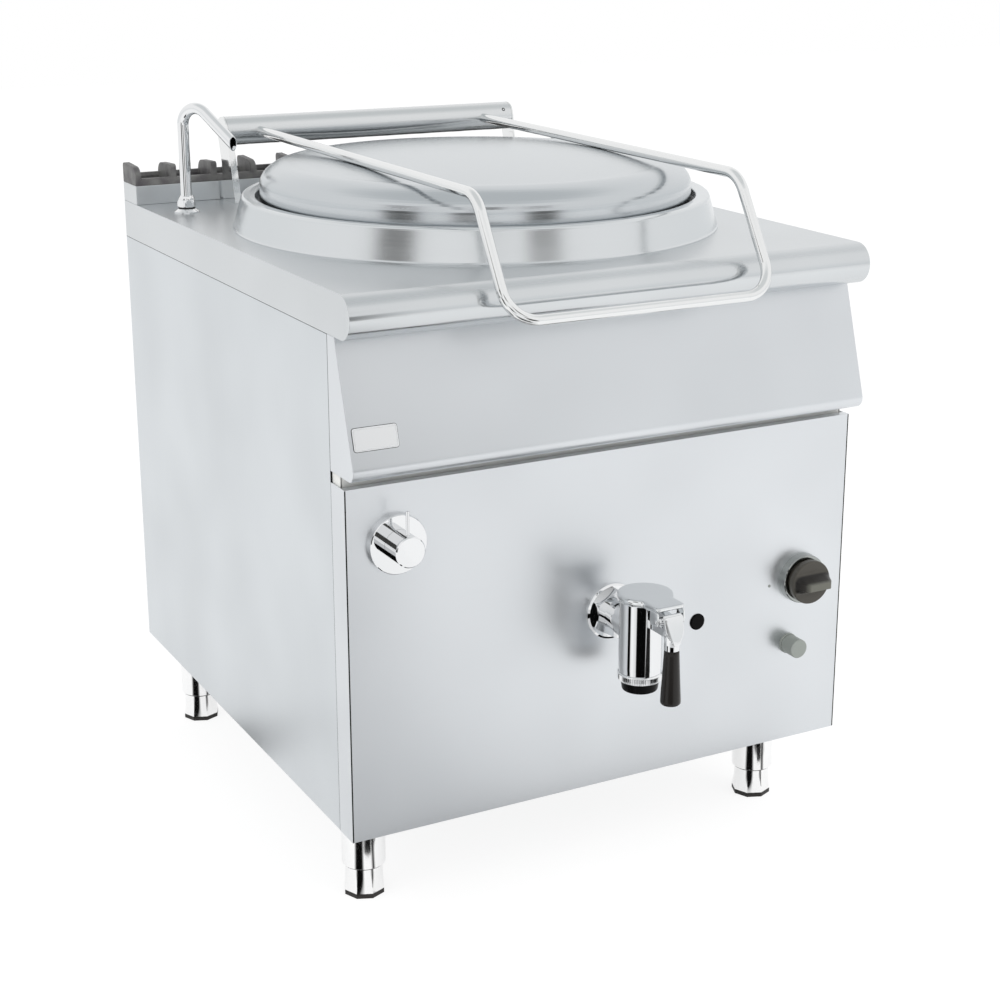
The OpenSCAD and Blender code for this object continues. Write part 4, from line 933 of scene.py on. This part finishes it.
@dataclass
class SpoutNut:
    """The nut at the spout's foot: a hexagon on a waist, with a turned cone round the pipe, on a dark ring.
    """

    foot: Point = (-352.0, 352.0, 896.0)
    corner_r: float = 15.0
    nut_side: Rows = (
        *((2.6, 12.4), (2.8, 13.4), (3.8, 16.0), (10.6, 16.0), (13.4, 13.4)),
        *((14.0, 12.6), (17.0, 11.9), (19.4, 10.4), (20.0, 9.4)),
    )
    dark_ring_side: Rows = ((9.6, 0.0), (12.6, 0.0), (13.0, 0.5), (13.0, 2.1), (12.6, 2.6), (9.6, 2.6))

    def build(self, shop: Workshop) -> None:
        """Stack the waist, the hexagon and the cone as rings of one nut, and lay a dark ring under it."""
        shape = hexagon_rings(self.corner_r, self.nut_side) + self.foot
        shop.loft("spout_nut_form", [shape], CHROME, "spout_nut", ("spout_nut",), sharp_deg=20.0)
        dark_ring = turned(self.dark_ring_side, 64) + self.foot
        shop.loft("spout_dark_ring", [dark_ring], RUBBER, "spout_nut", looped=True, sharp_deg=25.0)


@dataclass
class GasControls:
    """The gas knob, a disc with a grip bar across its face, its bezel and dot, and the button's collar.

    The knob's depths are distances to the front of the frame's origin.
    """

    centre_x: float = 325.0
    centre_z: float = 397.0
    face: float = 380.0
    face_r: Pair = (31.4, 0.3)
    rim: Rows = (
        *((0.1, 359.3), (29.0, 359.3), (29.0, 368.6), (31.8, 369.0)),
        *((32.8, 370.0), (32.8, 378.4), (32.3, 379.6)),
    )
    face_rings: int = 84
    bar_high: float = 22.5
    bar_half: float = 5.0
    flare: float = 11.0
    bar_flat: float = 17.0
    bar_reach: float = 32.0
    fall_power: float = 1.9
    end_powers: Pair = (1.6, 1.3)
    wall_y: float = -351.0
    bezel_side: Rows = (
        *((30.6, 0.0), (37.3, 0.0), (37.4, 0.8), (36.6, 11.6)),
        *((35.8, 12.8), (34.6, 13.0), (31.4, 13.0), (30.6, 12.2)),
    )
    button_at: Pair = (307.5, 296.0)
    collar_side: Rows = ((14.4, 0.0), (15.2, 0.0), (15.2, 3.6), (14.9, 4.2), (14.4, 4.2))
    dot_at: Pair = (270.0, 392.0)
    dot_side: Rows = (
        *((0.1, 0.5), (1.1, 0.5), (1.3, 0.15)),
        *((1.9, 0.15), (2.2, 0.4), (2.4, -0.2), (0.1, -0.2)),
    )

    def height(self, x: np.ndarray, z: np.ndarray) -> np.ndarray:
        """How far the face stands out: a flat ridge that falls away on both sides in a hollow curve.

        The fall is one minus the distance from the ridge over the flare, to the power 1.9. Along the bar
        the ridge is flat in the middle. Past bar_flat it is one minus the way's power 1.6, to the power 1.3.
        """
        off = np.clip((np.abs(z) - self.bar_half) / self.flare, 0, 1)
        along = np.clip((np.abs(x) - self.bar_flat) / (self.bar_reach - self.bar_flat), 0, 1)
        near, far = self.end_powers
        return self.bar_high * (1 - off) ** self.fall_power * (1 - along**near) ** far

    def knob(self) -> np.ndarray:
        """Carry rings from the shank's back over the rim, and then in over the face with its ridge."""
        unit = circle(1.0, 320)
        rings = [lifted(unit * r, out) for r, out in self.rim]
        for r in np.linspace(*self.face_r, self.face_rings):
            rings.append(lifted(unit * r, self.face + self.height(*(unit * r).T)))
        return to_front(np.stack(rings), (self.centre_x, 0.0, self.centre_z))

    def build(self, shop: Workshop) -> None:
        """Build the knob, and the turned parts that stand on the front panel."""
        shop.loft("gas_knob_form", [self.knob()], KNOB_PLASTIC, "gas_knob", ("gas_knob",), sharp_deg=60.0)
        bezel = to_front(turned(self.bezel_side), (self.centre_x, self.wall_y, self.centre_z))
        shop.loft("knob_bezel_form", [bezel], BEZEL_STEEL, "knob_bezel", ("knob_bezel",), True, 25.0)
        collar = to_front(turned(self.collar_side, 64), (self.button_at[0], self.wall_y, self.button_at[1]))
        shop.loft("button_collar", [collar], BUTTON_PLASTIC, "front_panel", looped=True, sharp_deg=25.0)
        dot = to_front(turned(self.dot_side), (self.dot_at[0], self.wall_y, self.dot_at[1]))
        shop.loft("knob_index_dot", [dot], BUTTON_PLASTIC, "front_panel")


@dataclass
class LevellingFeet:
    """Four levelling feet: a neck flaring into eight flats, on a thin dark pad, under a ring of painted
    shadow.
    """

    neck_r: float = 26.5
    corner_r: float = 30.0
    neck_top: float = 102.0
    flare_top: float = 38.0
    pad_high: float = 7.5
    pad_share: float = 0.998
    pad_edge: float = 0.8
    flare_power: float = 1.8
    shadow_ring_side: Rows = ((26.7, 0.3), (26.9, -1.9), (27.8, -2.3), (28.9, -1.6), (29.2, 0.3))

    def build(self, shop: Workshop) -> None:
        """Loft each foot: its radius goes from circle to octagon by the power 1.8 of the way down."""
        angle = ring_angles(160)
        octagon = flats(self.corner_r, 8, angle)
        drop = self.pad_high - self.flare_top
        rows = [(0.0, self.neck_top)]
        rows += [(way, self.flare_top + drop * way) for way in np.linspace(0, 1, 16)]
        for name in FEET:
            low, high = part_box(name)
            at = [(a + b) / 2 / MM for a, b in zip(low[:2], high[:2])]
            radii = [self.neck_r + (octagon - self.neck_r) * way**self.flare_power for way, _ in rows]
            rings = [lifted(polar(r, angle) + at, z) for r, (_, z) in zip(radii, rows)]
            shop.loft(name + "_form", [np.stack(rings)], LEG_STEEL_PAINTED_BRIGHT, name, (name,), sharp_deg=24.0)
            # A dark ring just under each sleeve's end: painted shadow of the sleeve's rounded rim.
            shadow_ring = turned(self.shadow_ring_side, 64) + [*at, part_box("leg_sleeves")[0][2] / MM]
            ring = name.replace("levelling_foot", "leg_shadow_ring")
            shop.loft(ring, [shadow_ring], RUBBER, "leg_sleeves", looped=True, sharp_deg=60.0)
            pad = pillow(polar(octagon, angle) * self.pad_share + at, 0.0, self.pad_high, self.pad_edge)
            shop.loft(name + "_pad", [pad], PAD_RUBBER, name, sharp_deg=30.0)


@dataclass
class BeamScrew:
    """The socket screw near the hinge beam's right end."""

    beam_r: float = 22.8
    beam_at: Point = (241.0, 439.0, 1000.5)
    head_side: Rows = (
        *((0.1, -1.0), (3.0, -1.0), (3.0, 0.25), (2.6, 0.6)),
        *((1.86, 0.7), (1.65, 0.4), (1.5, -0.6), (0.1, -0.6)),
    )
    sunk: float = 0.2
    tilt_deg: float = 32.0

    def build(self, shop: Workshop) -> None:
        """Set the low round head, with its blind socket, square to the beam's surface, above its front."""
        tilt = math.radians(self.tilt_deg)
        out = np.array([0.0, -math.cos(tilt), math.sin(tilt)])
        up = np.array([0.0, math.sin(tilt), math.cos(tilt)])
        head = turned(self.head_side, 32)
        at = np.array(self.beam_at) + out * (self.beam_r - self.sunk)
        shell = at + head[..., :1] * [1.0, 0.0, 0.0] + head[..., 1:2] * up + head[..., 2:] * out
        shop.loft("beam_screw", [shell], DARK_SCREW, "hinge_beam")


# Camera, light and floor, in metres


TAP_XY = (0.0, -0.428)
LEGS_XY = ((-0.335, -0.236), (0.335, -0.236), (-0.335, 0.454))


@dataclass(frozen=True)
class Sector:
    """A sector of a flat ring on the floor, which bright metal shows as a band, and brushed metal as shade.

    Its angles are measured from +X, and each side fades over a share of its width. The wide grey one lies
    under the others.
    """

    centre: Pair
    low_deg: float
    high_deg: float
    near: float
    far: float
    fade: float
    colour: str = "#080808"
    level: float = 0.002


@dataclass(frozen=True)
class Card:
    """An upright dark card that faces the pan's axis: its azimuth from +X, width and edges' heights."""

    azimuth_deg: float
    width: float
    low: float
    high: float
    fade: float = 0.2
    colour: str = "#454543"


@dataclass
class Studio:
    """A white floor with soft light, and dark cards beside the camera, which bright metal mirrors."""

    camera_at: Point = (-1.2989, -2.4608, 1.3512)
    azimuth_deg: float = -28.43
    elevation_deg: float = 16.51
    roll_deg: float = -0.06
    lens_mm: float = 68.05
    sensor_mm: float = 36.0
    sight_m: float = 60.0
    shift: Pair = (-0.01364, -0.0372)
    dome: tuple[tuple[float, str], ...] = (
        *((0.0, "#F2F4F5"), (0.3, "#FFFFFF"), (0.5, "#FFFFFF")),
        *((0.72, "#FFFFFF"), (0.9, "#DDE0E1"), (1.0, "#DDE0E1")),
    )
    card_distance: float = 3.0
    cards: tuple[Card, ...] = (
        Card(-154.0, 1.15, 0.3, 1.35),
        Card(-154.0, 1.15, 1.75, 2.5),
        Card(-84.5, 1.05, 0.3, 1.3),
        Card(-86.0, 0.95, 1.9, 2.5),
        Card(-110.0, 0.8, 2.3, 2.9),
        Card(-121.5, 0.9, 0.45, 1.15),
    )
    # Two beside the tap, two behind each leg, a thin strip far in front, and the wide grey one.
    sectors: tuple[Sector, ...] = (
        Sector(TAP_XY, -147.0, -94.0, 0.76, 1.3, 0.08),
        Sector(TAP_XY, -210.0, -174.0, 0.76, 1.3, 0.15),
        *(Sector(leg, -160.0, -112.0, 0.035, 0.27, 0.2) for leg in LEGS_XY),
        *(Sector(leg, -80.0, -58.0, 0.035, 0.27, 0.45) for leg in LEGS_XY),
        Sector((0.0, 8.0), -93.2, -86.8, 8.4, 8.55, 0.1),
        Sector((0.0, -0.351), -160.0, -77.0, 0.25, 2.6, 0.33, "#DADBDC", 0.001),
    )
    floor_half: float = 12.0
    floor_glow: float = 1.1
    seen_glow: float = 0.78
    mirrored_glow: float = 0.65
    lamps: tuple[tuple[str, Point, float, float], ...] = (
        ("key", (2.4, -3.2, 3.4), 2.4, 60.0),
        ("fill", (-3.4, -1.0, 2.6), 2.6, 30.0),
    )
    aim: Point = (0.0, 0.0, 0.5)

    def camera(self) -> None:
        """Stand the camera where the photo was taken from, with its lens and its shift."""
        data = bpy.data.cameras.new("camera")
        data.lens, data.sensor_width = self.lens_mm, self.sensor_mm
        data.shift_x, data.shift_y = self.shift
        data.clip_end = self.sight_m
        camera = show("camera", data)
        camera.location = self.camera_at
        turns = (90 - self.elevation_deg, self.roll_deg, self.azimuth_deg)
        camera.rotation_euler = [math.radians(turn) for turn in turns]
        bpy.context.scene.camera = camera

    def world(self) -> None:
        """White where the camera looks; elsewhere a soft dome, brightest halfway up."""
        world = bpy.data.worlds.new("studio")
        tree = cleared(world)
        apart = add(tree, "SeparateXYZ", {"Vector": add(tree, "TexCoord").outputs["Generated"]})
        ramp = add(tree, "ValToRGB", {"Fac": apart.outputs["Z"]}, stops=self.dome)
        dome = add(tree, "Background", {"Color": ramp}, Strength=1.0)
        white = add(tree, "Background", Color=linear("#FFFFFF"), Strength=1.0)
        seen = add(tree, "LightPath").outputs["Is Camera Ray"]
        mix = add(tree, "MixShader", {0: seen, 1: dome, 2: white})
        add(tree, "OutputWorld", {"Surface": mix})
        bpy.context.scene.world = world

    def floor(self) -> None:
        """A wide pale floor that reads as white and keeps a faint shadow."""
        corners = lifted(self.floor_half * np.array([[-1, -1], [1, -1], [1, 1], [-1, 1]]), 0.0)
        mesh = bpy.data.meshes.new("floor")
        mesh.from_pydata(corners.tolist(), [], [(0, 1, 2, 3)])
        floor = show("floor", mesh)
        material = bpy.data.materials.new("Pale floor")
        tree = cleared(material)
        matt = add(tree, "BsdfDiffuse", Color=linear("#F4F4F4"))
        glow = add(tree, "Emission", Color=linear("#FFFFFF"), Strength=self.floor_glow)
        path = add(tree, "LightPath").outputs
        part = add(tree, "Math", {0: path["Is Camera Ray"], 1: self.seen_glow}, operation="MULTIPLY")
        mirrored = {0: path["Is Glossy Ray"], 1: self.mirrored_glow, 2: part}
        part = add(tree, "Math", mirrored, operation="MULTIPLY_ADD")
        mix = add(tree, "MixShader", {0: part, 1: matt, 2: glow})
        add(tree, "OutputMaterial", {"Surface": mix})
        mesh.materials.append(material)

    def upright_rows(self, card: Card) -> np.ndarray:
        """A card's two long edges: points along its width, square to the line from the pan's axis."""
        azimuth = math.radians(card.azimuth_deg)
        out = np.array([math.cos(azimuth), math.sin(azimuth), 0.0])
        side = np.array([-out[1], out[0], 0.0]) * card.width / 2
        foot = np.array([*PAN_CENTRE, 0.0]) + out * self.card_distance
        across = foot + side * np.linspace(-1, 1, 9)[:, None]
        return np.stack([across + [0.0, 0.0, z] for z in (card.low, card.high)])

    def flat_rows(self, sector: Sector) -> np.ndarray:
        """A sector's two arcs: points at its near and its far radius, from one side to the other."""
        turn = np.radians(np.linspace(sector.low_deg, sector.high_deg, 25))
        arc = lifted(polar(1.0, turn), 0.0)
        return np.stack([sector.near * arc, sector.far * arc]) + [*sector.centre, sector.level]

    def dark(self, rows: np.ndarray, colour: str, fade: float) -> None:
        """Make one dark card that only reflections see, and that fades at both sides.

        Args:
            rows: Its two long edges, as two rows of points.
            colour: Its colour.
            fade: Share of its width over which each side fades.
        """
        count = rows.shape[1]
        corner = np.array([[i, i + 1, count + i + 1, count + i] for i in range(count - 1)])
        mesh = bpy.data.meshes.new("card")
        mesh.from_pydata(rows.reshape(-1, 3).tolist(), [], corner.tolist())
        across = mesh.uv_layers.new(name="across")
        share = (corner % count) / (count - 1)
        across.data.foreach_set("uv", np.stack([share, corner // count], axis=-1).astype(float).ravel())
        card = show("dark_card", mesh)
        card.visible_camera = card.visible_shadow = card.visible_diffuse = False
        material = bpy.data.materials.new("Dark card")
        tree = cleared(material)
        apart = add(tree, "SeparateXYZ", {"Vector": add(tree, "TexCoord").outputs["UV"]})
        stops = [(0.0, "#000000"), (fade, "#FFFFFF"), (1 - fade, "#FFFFFF"), (1.0, "#000000")]
        ramp = add(tree, "ValToRGB", {"Fac": apart.outputs["X"]}, stops=stops)
        glow = add(tree, "Emission", Color=linear(colour), Strength=1.0)
        mix = add(tree, "MixShader", {0: ramp, 1: add(tree, "BsdfTransparent"), 2: glow})
        add(tree, "OutputMaterial", {"Surface": mix})
        mesh.materials.append(material)

    def lamp(self, name: str, at: Point, size: float, watts: float) -> None:
        """Hang one soft square lamp that faces the object's middle."""
        data = bpy.data.lights.new(name, "AREA")
        data.size, data.energy = size, watts
        lamp = show(name, data)
        lamp.location = at
        lamp.visible_glossy = False
        lamp.rotation_euler = (Vector(self.aim) - Vector(at)).to_track_quat("-Z", "Y").to_euler()

    def build(self) -> None:
        """Set up the camera, the light, the floor and the cards."""
        self.camera()
        self.world()
        self.floor()
        for card in self.cards:
            self.dark(self.upright_rows(card), card.colour, card.fade)
        for sector in self.sectors:
            self.dark(self.flat_rows(sector), sector.colour, sector.fade)
        for lamp in self.lamps:
            self.lamp(*lamp)
        bpy.context.scene.view_settings.view_transform = "Standard"


def main() -> None:
    """Build everything in order."""
    logging.basicConfig(level=logging.INFO, format="%(message)s")
    Studio().build()
    shop = Workshop()
    shop.dress_nodes()
    for assembly in (Sheetwork, BarePlate, DrainTap, SpoutNut, GasControls, LevellingFeet, BeamScrew):
        assembly().build(shop)


if __name__ == "__main__":
    main()
